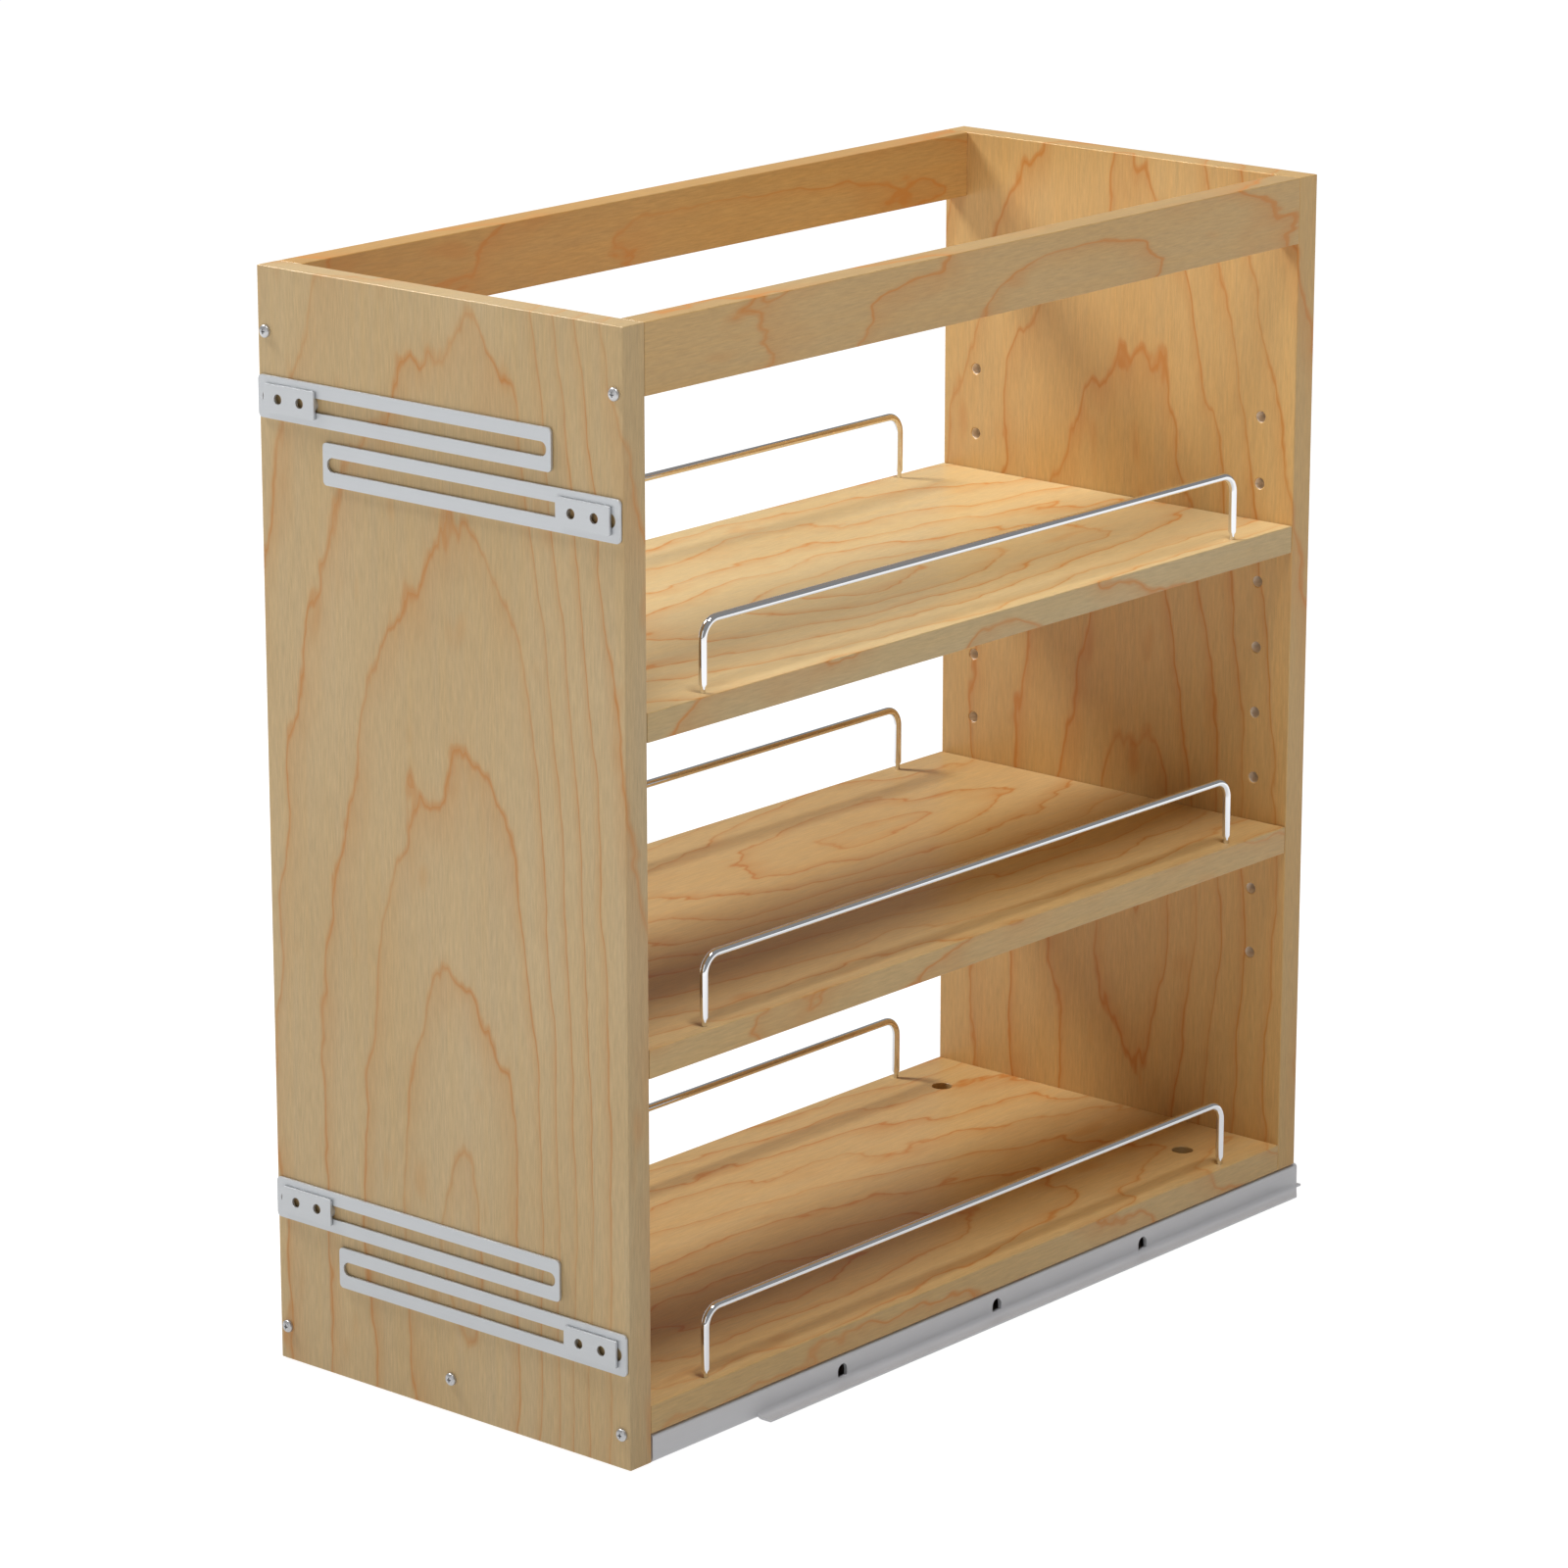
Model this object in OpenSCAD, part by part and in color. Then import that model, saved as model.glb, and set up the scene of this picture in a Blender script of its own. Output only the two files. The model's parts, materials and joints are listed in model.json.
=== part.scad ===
// Pull-out pantry cart for a base cabinet: a three-shelf plywood frame with chrome guard
// rails on a pair of ball-bearing slides, with sliding steel brackets for the cabinet door.
// Millimetres. +Z is up, the front panel faces -Y, and the origin is on the surface the
// tray rests on, in the middle of the model's outline seen from above.

/* [Frame] */
// Width of the panels and shelves
cart_w = 251; // [200:1:320]
// Depth from the front panel's face to the rear panel's face
cart_d = 570; // [470:1:700]
// Height of the front panel
cart_h = 591.4; // [490:0.1:760]
// Thickness of the front and rear panels and of the top rails
panel_t = 15.9; // [12:0.1:19]
// Thickness of the three shelves
shelf_t = 15.4; // [12:0.1:19]
// Height of the two top rails
top_rail_h = 36.8; // [28:0.1:50]
// Drop of the front panel below the bottom shelf
front_drop = 15.6; // [15.6:0.1:22]
// Clear height between the bottom shelf and the middle shelf
bottom_bay_h = 174.5; // [120:0.5:210]
// Gap at each end of the two adjustable shelves
shelf_end_gap = 0.4; // [0.2:0.1:1]

/* [Shelf pegs] */
// Diameter of the blind peg holes
peg_hole_d = 6.3; // [5:0.1:8]
// Depth of the blind peg holes
peg_hole_depth = 10; // [7:0.5:11]
// Pitch of the peg holes in a column
peg_pitch = 38; // [28:0.5:42]
// Distance from a panel's side edge to its column of peg holes
peg_inset = 23.5; // [20:0.5:35]
// Distance from a shelf's underside down to the middle of its pegs
peg_drop = 1.9; // [1:0.1:2.4]
// Length of a peg that stands out of the panel
peg_reach = 9; // [6:0.5:12]

/* [Guard rails] */
// Diameter of the chrome wire
wire_d = 4.4; // [3.5:0.1:6]
// Diameter of the spigot at the foot of each leg
spigot_d = 2.8; // [2:0.1:3.4]
// Depth of the spigot holes in the shelves
spigot_depth = 9; // [6:0.5:11]
// Height of the wire's axis above its shelf
rail_rise = 36.9; // [28:0.1:60]
// Radius of the bends, on the wire's axis
bend_r = 10; // [7:0.5:15]
// Distance between the two legs
rail_len = 441.5; // [350:0.5:455]
// Distance from a shelf's side edge to the wire's axis
rail_inset = 6; // [4:0.5:12]

/* [Door brackets] */
// Length of a sliding arm
arm_len = 203.5; // [160:0.5:204]
// Height of a sliding arm
arm_h = 22.3; // [17:0.1:26]
// Thickness of a sliding arm
arm_t = 1.5; // [1.2:0.1:3]
// Width of the slot in an arm
slot_w = 7.5; // [6.5:0.1:10]
// Metal left between an arm's end and its slot
slot_margin = 3.1; // [2.5:0.1:6]
// Length of a clamp plate
plate_len = 36; // [30:0.5:44]
// Height of a clamp plate
plate_h = 14.8; // [12:0.1:17]
// Thickness of a clamp plate
plate_t = 1.5; // [1.2:0.1:3]
// Distance between the two open holes of a clamp plate
plate_pitch = 15.5; // [13:0.5:20]
// Distance from the panel's side edge to the middle of a clamp plate
plate_inset = 24.4; // [22:0.1:32]
// Diameter of the machine screws that hold a clamp plate
bracket_screw_d = 4; // [3:0.1:4.5]
// Diameter of the open holes, for screws that lock the bracket into the panel
plate_hole_d = 5.3; // [4.8:0.1:5.8]
// Distance from the panel's top edge down to the upper left arm
upper_arm_drop = 67.3; // [60:0.1:80]
// Distance from the panel's bottom edge up to the lower left arm
lower_arm_rise = 91.5; // [85:0.1:110]
// Distance from a left arm down to the right arm below it
arm_step = 29.3; // [27:0.1:36]

/* [Wood screws] */
// Diameter of the wood screws
wood_screw_d = 3.2; // [2.5:0.1:4]
// Diameter of the pan heads
wood_head_d = 7.1; // [6:0.1:9]
// Length of a wood screw under its head
wood_screw_len = 32; // [28:0.5:45]
// Distance from the panel's side edge to the outer wood screws
wood_screw_inset = 5.5; // [4:0.1:8]
// Distance from a board's lower face to its wood screws
wood_screw_rise = 3; // [2.5:0.1:6]

/* [Slide tray] */
// Thickness of the sheet steel
sheet_t = 1.2; // [0.8:0.1:1.6]
// Gap between the tray's side walls and the bottom shelf
tray_top_gap = 0.8; // [0.5:0.1:1.5]
// Outward reach of the tray's foot flanges past its walls
flange_w = 9; // [6:0.5:20]
// Distance from the front panel's face to the start of the foot flanges
flange_start = 98.5; // [80:0.5:130]
// Radius of the inside of the bend into a foot flange
flange_bend_r = 2.8; // [1.5:0.1:4]
// Reach of the tray's walls behind the rear panel
wall_tail = 3; // [1:0.5:10]
// Reach of the tray's floor behind the rear panel
floor_tail = 9; // [4:0.5:20]
// Width of an arched cut-out in a side wall
arch_w = 7.5; // [5:0.1:10]
// Height of an arched cut-out in a side wall
arch_h = 7.2; // [6:0.1:8]
// Distance between the arched cut-outs
arch_pitch = 130; // [90:1:160]
// Diameter of the four holes for the cabinet floor screws
floor_hole_d = 5; // [4:0.1:7]
// Diameter of the two access holes in the bottom shelf
access_d = 12; // [9:0.5:16]
// Distance from the panel's side edge to the floor screws
floor_hole_inset = 36.7; // [32:0.1:45]
// Distance from the front panel's face to the front pair of floor screws
floor_hole_front = 60; // [50:1:90]
// Distance from the rear panel's face to the rear pair of floor screws
floor_hole_rear = 58.4; // [50:0.1:90]

/* [Ball-bearing slides] */
// Width of an outer rail
slide_w = 45; // [42:0.5:48]
// Thickness of the rails
slide_t = 1.3; // [1:0.1:1.5]
// Diameter of the outer balls
outer_ball_d = 3.8; // [3.2:0.1:4]
// Diameter of the inner balls
inner_ball_d = 2.8; // [2.2:0.1:3]
// Clearance on each side of the balls
ball_gap = 0.3; // [0.2:0.05:0.4]
// Thickness of the ball cages
cage_t = 0.6; // [0.4:0.1:0.8]
// Distance between balls in a cage
ball_pitch = 24; // [16:1:40]
// Shortest length of rail that stays engaged past full travel
travel_margin = 18; // [12:1:40]

/* [Clearances] */
// Height of the front panel's bottom edge above the surface
base_gap = 0.5; // [0.4:0.1:3]
// Gap between pieces that slide past each other
slip_gap = 0.3; // [0.3:0.05:0.6]
// Clearance round a fastener in its hole
screw_gap = 0.05; // [0.05:0.05:0.2]

/* [Hidden] */
$fn = 48;
eps = 0.01;

// How far a cutting shape reaches past what it cuts
cut_over = 5;

// Depths
arm_stack = 2 * slip_gap + arm_t + plate_t;
front_y = (arm_stack - cart_d - floor_tail) / 2;
inner_y = front_y + panel_t;
rear_in_y = front_y + cart_d - panel_t;
rear_y = front_y + cart_d;
inner_d = rear_in_y - inner_y;
half_w = cart_w / 2;

// Heights
top_z = base_gap + cart_h;
shelf_z0 = base_gap + front_drop;
rail_z0 = top_z - top_rail_h;
bottom_top = shelf_z0 + shelf_t;
middle_z0 = bottom_top + bottom_bay_h;
middle_top = middle_z0 + shelf_t;
upper_bay_h = (rail_z0 - middle_top - shelf_t) / 2;
upper_z0 = middle_top + upper_bay_h;
upper_top = upper_z0 + shelf_t;

// Shelf pegs and their columns of holes
peg_x = half_w - peg_inset;
peg_d = peg_hole_d - 2 * screw_gap;
upper_peg_z = upper_z0 - peg_drop;
middle_peg_z = middle_z0 - peg_drop;
peg_end_gap = 1;
first_row_rise = 42.2;
row_clear = 16;
row_drop = 23.4;
rows_above = 2;
rows_below = 2;
middle_rows = [for (z = middle_peg_z + first_row_rise; z < upper_peg_z - row_clear; z = z + peg_pitch) z];
upper_rows = [for (i = [1:rows_above]) upper_peg_z + i * peg_pitch];
lower_rows = [for (i = [0:rows_below - 1]) middle_peg_z - row_drop - i * peg_pitch];
peg_rows = concat([upper_peg_z, middle_peg_z], upper_rows, middle_rows, lower_rows);

// Guard rails
wire_x = half_w - rail_inset;
leg_y = [(inner_y + rear_in_y - rail_len) / 2, (inner_y + rear_in_y + rail_len) / 2];
taper_z = 3;
taper_h = 1.5;
spigot_end_gap = 0.5;

// Wood screws, each given as [x, z]
wood_screw_x = half_w - wood_screw_inset;
rail_screw_z = rail_z0 + wood_screw_rise;
shelf_screw_z = shelf_z0 + wood_screw_rise;
rail_screws = [for (s = [-1, 1]) [s * wood_screw_x, rail_screw_z]];
shelf_screws = [for (s = [-1, 0, 1]) [s * wood_screw_x, shelf_screw_z]];
wood_screws = concat(rail_screws, shelf_screws);
wood_head_h = 2.2;
head_rim_h = 0.9;
head_rim_cut = 0.02;
bore_end_gap = 1;
cross_w = 1;
cross_len = 3.6;
cross_depth = 1.3;

// Door brackets
plate_x = half_w - plate_inset;
plate_y = front_y - arm_stack;
collar_d = slot_w - 2 * slip_gap;
collar_edge = 0.1;
collar_skin = 0.6;
collar_end_gap = 0.2;
collar_offsets = [0, (plate_len - collar_d) / 2 - collar_edge];
bracket_hole_d = bracket_screw_d + 0.4;
arm_end_inset = 1;
arm_corner_r = 2.5;
plate_corner_r = 1;
upper_left_z = top_z - upper_arm_drop;
upper_right_z = upper_left_z - arm_step;
lower_left_z = base_gap + lower_arm_rise;
lower_right_z = lower_left_z - arm_step;
bracket_places = [[-1, upper_left_z], [1, upper_right_z], [-1, lower_left_z], [1, lower_right_z]];
bracket_screw_places = [for (b = bracket_places, x = collar_offsets) [b[0] * (plate_x - x), b[1]]];
washer_t = 1;
washer_d = 10;
bracket_head_d = 8.5;
bracket_head_h = 2.4;

// Slide tray
tray_front_gap = 1;
tray_y0 = inner_y + tray_front_gap;
wall_inset = 0.1;
wall_x = half_w - wall_inset;
wall_top = shelf_z0 - tray_top_gap;
wall_y1 = rear_y + wall_tail;
floor_y1 = rear_y + floor_tail;
flange_y0 = front_y + flange_start;
flange_x1 = wall_x + flange_w;
flange_cut = 12;
edge_r = 2;
lip_w = 12;
top_lip_w = 6;
pan_side_h = 9;
arch_z0 = 3.2;
arch_shift = 2;
arch_y = [for (i = [-1:1]) (tray_y0 + wall_y1) / 2 + arch_shift + i * arch_pitch];
floor_hole_x = half_w - floor_hole_inset;
floor_hole_y = [front_y + floor_hole_front, rear_y - floor_hole_rear];

// Ball-bearing slides, from the outside inwards and from the floor up
access_gap = 6;
slide_x = floor_hole_x - access_d / 2 - access_gap - slide_w / 2;
slide_front_gap = 4;
slide_rear_gap = 2;
slide_y0 = tray_y0 + slide_front_gap;
slide_len = rear_y - slide_rear_gap - slide_y0;
slide_y1 = slide_y0 + slide_len;
bumper_len = 6;
bumper_w = 24;
bumper_drop = 3;
bumper_gap = 1;
moving_len = slide_len - bumper_len - bumper_gap;
travel = moving_len - travel_margin;
outer_ball_x = slide_w / 2 - slide_t - ball_gap - outer_ball_d / 2;
middle_w = 2 * (outer_ball_x - outer_ball_d / 2 - ball_gap);
inner_ball_x = middle_w / 2 - slide_t - ball_gap - inner_ball_d / 2;
inner_w = 2 * (inner_ball_x - inner_ball_d / 2 - ball_gap);
stack_h = shelf_z0 - sheet_t;
outer_z0 = sheet_t;
shelf_gap = 2.3;
lip_reach = 0.7;
middle_lift = 2.1;
lip_gap = 0.4;
inner_lift = 1.5;
outer_rail_h = stack_h - shelf_gap;
outer_lip_w = outer_ball_d / 2 + lip_reach;
middle_z = outer_z0 + slide_t + middle_lift;
middle_rail_h = outer_rail_h - slide_t - middle_lift - slide_t - lip_gap;
inner_rail_z = middle_z + slide_t + inner_lift;
outer_ball_lift = 0.2;
inner_ball_lift = 2.2;
outer_ball_z = middle_z + middle_rail_h / 2 + outer_ball_lift;
inner_ball_z = inner_rail_z + inner_ball_lift;
cage_side_h = 5;
outer_cage_lift = 0.7;
inner_cage_lift = 0.4;
outer_cage_z = outer_z0 + slide_t + outer_cage_lift;
inner_cage_z = middle_z + slide_t + inner_cage_lift;
cage_end_gap = 12;
cage_len = moving_len - travel / 2 - 2 * cage_end_gap;
cage_y0 = slide_y0 + travel / 4 + cage_end_gap;
cage_bridge = 10;
cage_hole_gap = 2;
cage_grip = 0.05;
ball_count = floor((cage_len - 2 * cage_bridge - 2 * cage_hole_gap) / ball_pitch) + 1;
ball_y = [for (i = [0:ball_count - 1]) cage_y0 + cage_len / 2 + (i - (ball_count - 1) / 2) * ball_pitch];
rivet_d = 4;
rivet_head_d = 6.4;
rivet_seat = 0.3;
rivet_gap = 0.1;
rivet_inset = 20;
rivet_y = [for (i = [0:3]) slide_y0 + rivet_inset + i * (slide_len - 2 * rivet_inset) / 3];
rail_screw_inset = 30;
rail_screw_y = [for (i = [0:2]) slide_y0 + rail_screw_inset + i * (moving_len - 2 * rail_screw_inset) / 2];
rail_screw_len = 11;
rail_head_h = 2;

// ---- Helpers ----

// Extrudes an X-Z profile along Y
module along_y(y0, len) {
    translate([0, y0 + len, 0]) rotate([90, 0, 0]) linear_extrude(len) children();
}

// A rod along Y that starts at y0
module y_rod(x, y0, z, d, len) {
    translate([x, y0, z]) rotate([-90, 0, 0]) cylinder(h = len, d = d);
}

// A rectangle round its own centre with rounded corners
module rounded_rect(w, h, r) {
    square([w - 2 * r, h], center = true);
    square([w, h - 2 * r], center = true);
    for (sx = [-1, 1], sy = [-1, 1]) translate([sx * (w / 2 - r), sy * (h / 2 - r)]) circle(r);
}

// A slot with round ends from x0 to x1
module slot(x0, x1, w) {
    translate([x0 + w / 2, -w / 2]) square([x1 - x0 - w, w]);
    for (x = [x0 + w / 2, x1 - w / 2]) translate([x, 0]) circle(d = w);
}

// A quarter ring round a bend, filling the quadrant towards (qx, qy)
module bend(r_out, t, qx, qy) {
    intersection() {
        difference() {
            circle(r_out);
            circle(r_out - t);
        }
        translate([min(0, qx * r_out), min(0, qy * r_out)]) square(r_out);
    }
}

// A cross recess cut into a head that faces -Y, with the top of the head at y = 0
module cross_recess() {
    for (size = [[cross_len, cross_w], [cross_w, cross_len]])
        translate([-size[0] / 2, -cut_over, -size[1] / 2])
            cube([size[0], cut_over + cross_depth, size[1]]);
}

// A screw along Y: the head stands on y = 0 towards -Y, and the shank runs towards +Y
module y_screw(d, len, head_d, head_h) {
    dome_h = head_h - head_rim_h;
    dome_r = (head_d * head_d / 4 + dome_h * dome_h) / (2 * dome_h);
    y_rod(0, -head_rim_h / 2, 0, d, len + head_rim_h / 2);
    difference() {
        rotate([90, 0, 0]) rotate_extrude() intersection() {
            translate([0, head_h - dome_r]) circle(dome_r);
            square([head_d / 2 - head_rim_cut, head_h + cut_over]);
        }
        translate([0, -head_h, 0]) cross_recess();
    }
}

// ---- Wooden frame ----

module panel_holes(mouth_y) {
    for (s = [-1, 1], z = peg_rows) y_rod(s * peg_x, mouth_y, z, peg_hole_d, peg_hole_depth + eps);
}

module wood_screw_holes(y0, len) {
    for (p = wood_screws) y_rod(p[0], y0, p[1], wood_screw_d + 2 * screw_gap, len);
}

module front_panel() {
    color("burlywood") difference() {
        translate([-half_w, front_y, base_gap]) cube([cart_w, panel_t, cart_h]);
        panel_holes(inner_y - peg_hole_depth);
        wood_screw_holes(front_y - eps, panel_t + 2 * eps);
        for (p = bracket_screw_places) y_rod(p[0], front_y - eps, p[1], bracket_hole_d, panel_t + 2 * eps);
    }
}

module rear_panel() {
    color("burlywood") difference() {
        translate([-half_w, rear_in_y, shelf_z0]) cube([cart_w, panel_t, top_z - shelf_z0]);
        panel_holes(rear_in_y - eps);
        wood_screw_holes(rear_in_y - eps, panel_t + 2 * eps);
    }
}

module top_rail(side) {
    color("wheat") difference() {
        translate([side * (half_w - panel_t / 2) - panel_t / 2, inner_y, rail_z0])
            cube([panel_t, inner_d, top_rail_h]);
        screw_ends();
    }
}

// Bores for the wood screws in the two ends of what they hold
module screw_ends() {
    depth = wood_screw_len - panel_t + bore_end_gap;
    wood_screw_holes(inner_y - eps, depth);
    wood_screw_holes(rear_in_y - depth + eps, depth);
}

// A shelf board with the four spigot holes of its guard rails
module shelf_board(z0, end_gap) {
    difference() {
        translate([-half_w, inner_y + end_gap, z0]) cube([cart_w, inner_d - 2 * end_gap, shelf_t]);
        for (s = [-1, 1], y = leg_y)
            translate([s * wire_x, y, z0 + shelf_t - spigot_depth])
                cylinder(h = spigot_depth + eps, d = spigot_d + 2 * screw_gap);
    }
}

module bottom_shelf() {
    color("wheat") difference() {
        shelf_board(shelf_z0, 0);
        screw_ends();
        for (s = [-1, 1]) translate([s * floor_hole_x, floor_hole_y[1], shelf_z0 - eps])
            cylinder(h = shelf_t + 2 * eps, d = access_d);
        for (s = [-1, 1], y = rail_screw_y) translate([s * slide_x, y, shelf_z0 - eps])
            cylinder(h = rail_screw_len, d = wood_screw_d + 2 * screw_gap);
    }
}

module middle_shelf() {
    color("wheat") shelf_board(middle_z0, shelf_end_gap);
}

module upper_shelf() {
    color("wheat") shelf_board(upper_z0, shelf_end_gap);
}

// Four pegs whose flat tops carry the shelf with its underside at z0
module shelf_pegs(z0) {
    peg_depth = peg_hole_depth - peg_end_gap;
    color("silver") difference() {
        for (s = [-1, 1]) {
            y_rod(s * peg_x, inner_y - peg_depth, z0 - peg_drop, peg_d, peg_depth + peg_reach);
            y_rod(s * peg_x, rear_in_y - peg_reach, z0 - peg_drop, peg_d, peg_depth + peg_reach);
        }
        translate([-half_w, inner_y, z0]) cube([cart_w, inner_d, peg_d]);
    }
}

module middle_shelf_pegs() {
    shelf_pegs(middle_z0);
}

module upper_shelf_pegs() {
    shelf_pegs(upper_z0);
}

module front_panel_screws() {
    color("lightgray") for (p = wood_screws) translate([p[0], front_y, p[1]])
        y_screw(wood_screw_d, wood_screw_len, wood_head_d, wood_head_h);
}

module rear_panel_screws() {
    color("lightgray") for (p = wood_screws) translate([p[0], rear_y, p[1]]) rotate([0, 0, 180])
        y_screw(wood_screw_d, wood_screw_len, wood_head_d, wood_head_h);
}

// ---- Guard rails ----

// One leg with its tapered foot and spigot
module rail_leg(y) {
    translate([0, y, spigot_end_gap - spigot_depth])
        cylinder(h = spigot_depth + taper_z, d = spigot_d);
    translate([0, y, taper_z]) cylinder(h = taper_h, d1 = spigot_d, d2 = wire_d);
    translate([0, y, taper_z + taper_h])
        cylinder(h = rail_rise - bend_r - taper_z - taper_h, d = wire_d);
}

// A bent wire that stands on its shelf's top face
module guard_rail(side, shelf_top) {
    color("gainsboro") translate([side * wire_x, 0, shelf_top]) {
        for (y = leg_y) rail_leg(y);
        translate([0, leg_y[0] + bend_r, rail_rise - bend_r]) rotate([90, 0, -90])
            rotate_extrude(angle = 90) translate([bend_r, 0]) circle(d = wire_d);
        translate([0, leg_y[1] - bend_r, rail_rise - bend_r]) rotate([90, 0, 90])
            rotate_extrude(angle = 90) translate([bend_r, 0]) circle(d = wire_d);
        y_rod(0, leg_y[0] + bend_r, rail_rise, wire_d, rail_len - 2 * bend_r);
    }
}

// ---- Door brackets ----

// A slotted arm that slides along X, drawn pushed in with its outer end at the panel's edge
module bracket_arm(side, z) {
    far_end = arm_len - slot_margin;
    color("silver") translate([side * (half_w - arm_end_inset), front_y - slip_gap, z]) rotate([90, 0, 0])
        linear_extrude(arm_t) difference() {
            translate([-side * arm_len / 2, 0]) rounded_rect(arm_len, arm_h, arm_corner_r);
            if (side > 0) slot(-far_end, -slot_margin, slot_w);
            if (side < 0) slot(slot_margin, far_end, slot_w);
        }
}

// A clamp plate over the arm: two open holes, and between them and beside them two collars that
// run in the slot, tapped from behind
module bracket_plate(side, z) {
    color("lightgray") translate([side * plate_x, plate_y, z]) difference() {
        union() {
            translate([0, plate_t, 0]) rotate([90, 0, 0]) linear_extrude(plate_t)
                rounded_rect(plate_len, plate_h, plate_corner_r);
            for (x = collar_offsets) y_rod(-side * x, plate_t - eps, 0, collar_d, arm_stack - plate_t);
        }
        for (s = [-1, 1]) y_rod(s * plate_pitch / 2, -eps, 0, plate_hole_d, arm_stack + 2 * eps);
        for (x = collar_offsets)
            y_rod(-side * x, collar_skin, 0, bracket_screw_d + 2 * screw_gap, arm_stack);
    }
}

module bracket_screws() {
    shank = washer_t + panel_t + arm_stack - collar_skin - collar_end_gap;
    color("lightgray") for (p = bracket_screw_places)
        translate([p[0], inner_y + washer_t, p[1]]) rotate([0, 0, 180])
            y_screw(bracket_screw_d, shank, bracket_head_d, bracket_head_h);
}

module bracket_washers() {
    color("silver") for (p = bracket_screw_places) difference() {
        y_rod(p[0], inner_y, p[1], washer_d, washer_t);
        y_rod(p[0], inner_y - eps, p[1], bracket_hole_d, washer_t + 2 * eps);
    }
}

// ---- Slide tray ----

// Arched cut-outs through the side walls
module arches() {
    for (y = arch_y) {
        translate([-half_w - cut_over, y, arch_z0 + arch_h - arch_w / 2]) rotate([0, 90, 0])
            cylinder(h = cart_w + 2 * cut_over, d = arch_w);
        translate([-half_w - cut_over, y - arch_w / 2, arch_z0])
            cube([cart_w + 2 * cut_over, arch_w, arch_h - arch_w / 2]);
    }
}

// The flat floor: narrow between the front lips, and turned up against the walls behind them
module tray_floor() {
    front_w = 2 * (wall_x - lip_w);
    pan_w = 2 * (wall_x - sheet_t);
    color("darkgray") difference() {
        union() {
            translate([-front_w / 2, tray_y0, 0]) cube([front_w, floor_y1 - tray_y0, sheet_t]);
            translate([-pan_w / 2, flange_y0, 0]) cube([pan_w, floor_y1 - flange_y0, sheet_t]);
            for (s = [-1, 1]) translate([s * (pan_w - sheet_t) / 2 - sheet_t / 2, flange_y0, 0])
                cube([sheet_t, wall_y1 - flange_y0, pan_side_h]);
        }
        arches();
        for (s = [-1, 1], y = floor_hole_y) translate([s * floor_hole_x, y, -eps])
            cylinder(h = sheet_t + 2 * eps, d = floor_hole_d);
        for (s = [-1, 1], y = rivet_y) translate([s * slide_x, y, -eps])
            cylinder(h = sheet_t + 2 * eps, d = rivet_d + 2 * screw_gap);
    }
}

// The wall above its bottom bend, with the lip along its top
module wall_profile(z0) {
    translate([wall_x - sheet_t, z0]) square([sheet_t, wall_top - edge_r - z0]);
    translate([wall_x - edge_r, wall_top - edge_r]) bend(edge_r, sheet_t, 1, 1);
    translate([wall_x - edge_r - top_lip_w, wall_top - sheet_t]) square([top_lip_w, sheet_t]);
}

// The side wall: lipped inwards at the front, and bent outwards into a foot flange behind
module tray_side() {
    foot_r = flange_bend_r + sheet_t;
    color("silver") difference() {
        union() {
            along_y(tray_y0, flange_y0 - tray_y0) {
                wall_profile(edge_r);
                translate([wall_x - edge_r, edge_r]) bend(edge_r, sheet_t, 1, -1);
                translate([wall_x - lip_w, 0]) square([lip_w - edge_r, sheet_t]);
            }
            along_y(flange_y0, wall_y1 - flange_y0) {
                wall_profile(foot_r);
                translate([wall_x - sheet_t + foot_r, foot_r]) bend(foot_r, sheet_t, -1, -1);
                translate([wall_x - sheet_t + foot_r, 0])
                    square([flange_x1 - wall_x + sheet_t - foot_r, sheet_t]);
            }
        }
        arches();
        translate([wall_x, wall_y1, -cut_over]) linear_extrude(foot_r + cut_over)
            polygon([[0, eps], [flange_w + cut_over, eps], [flange_w + cut_over, -flange_cut],
                [flange_w, -flange_cut]]);
    }
}

module tray_side_left() {
    mirror([1, 0, 0]) tray_side();
}

module tray_side_right() {
    tray_side();
}

// ---- Ball-bearing slides ----

// A channel that opens upwards, round its own middle
module channel(w, h, t) {
    translate([-w / 2, 0]) square([w, t]);
    for (s = [-1, 1]) translate([s * (w - t) / 2 - t / 2, 0]) square([t, h]);
}

module outer_rail(side) {
    color("darkgray") translate([side * slide_x, 0, outer_z0]) difference() {
        along_y(slide_y0, slide_len) {
            channel(slide_w, outer_rail_h, slide_t);
            for (s = [-1, 1])
                translate([s * (slide_w - outer_lip_w) / 2 - outer_lip_w / 2, outer_rail_h - slide_t])
                    square([outer_lip_w, slide_t]);
        }
        for (y = rivet_y) translate([0, y, 0]) {
            translate([0, 0, -eps]) cylinder(h = slide_t + 2 * eps, d = rivet_d + 2 * screw_gap);
            translate([0, 0, rivet_seat - rivet_gap])
                cylinder(h = slide_t - rivet_seat + rivet_gap + eps, d1 = rivet_d,
                    d2 = rivet_head_d + rivet_gap);
        }
    }
}

module rail_rivets() {
    color("gray") for (s = [-1, 1], y = rivet_y) translate([s * slide_x, y, 0]) {
        cylinder(h = sheet_t + rivet_seat, d = rivet_d);
        translate([0, 0, sheet_t + rivet_seat])
            cylinder(h = slide_t - rivet_seat, d1 = rivet_d, d2 = rivet_head_d - rivet_gap);
    }
}

module middle_rail(side) {
    color("silver") translate([side * slide_x, 0, middle_z])
        along_y(slide_y0, moving_len) channel(middle_w, middle_rail_h, slide_t);
}

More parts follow.
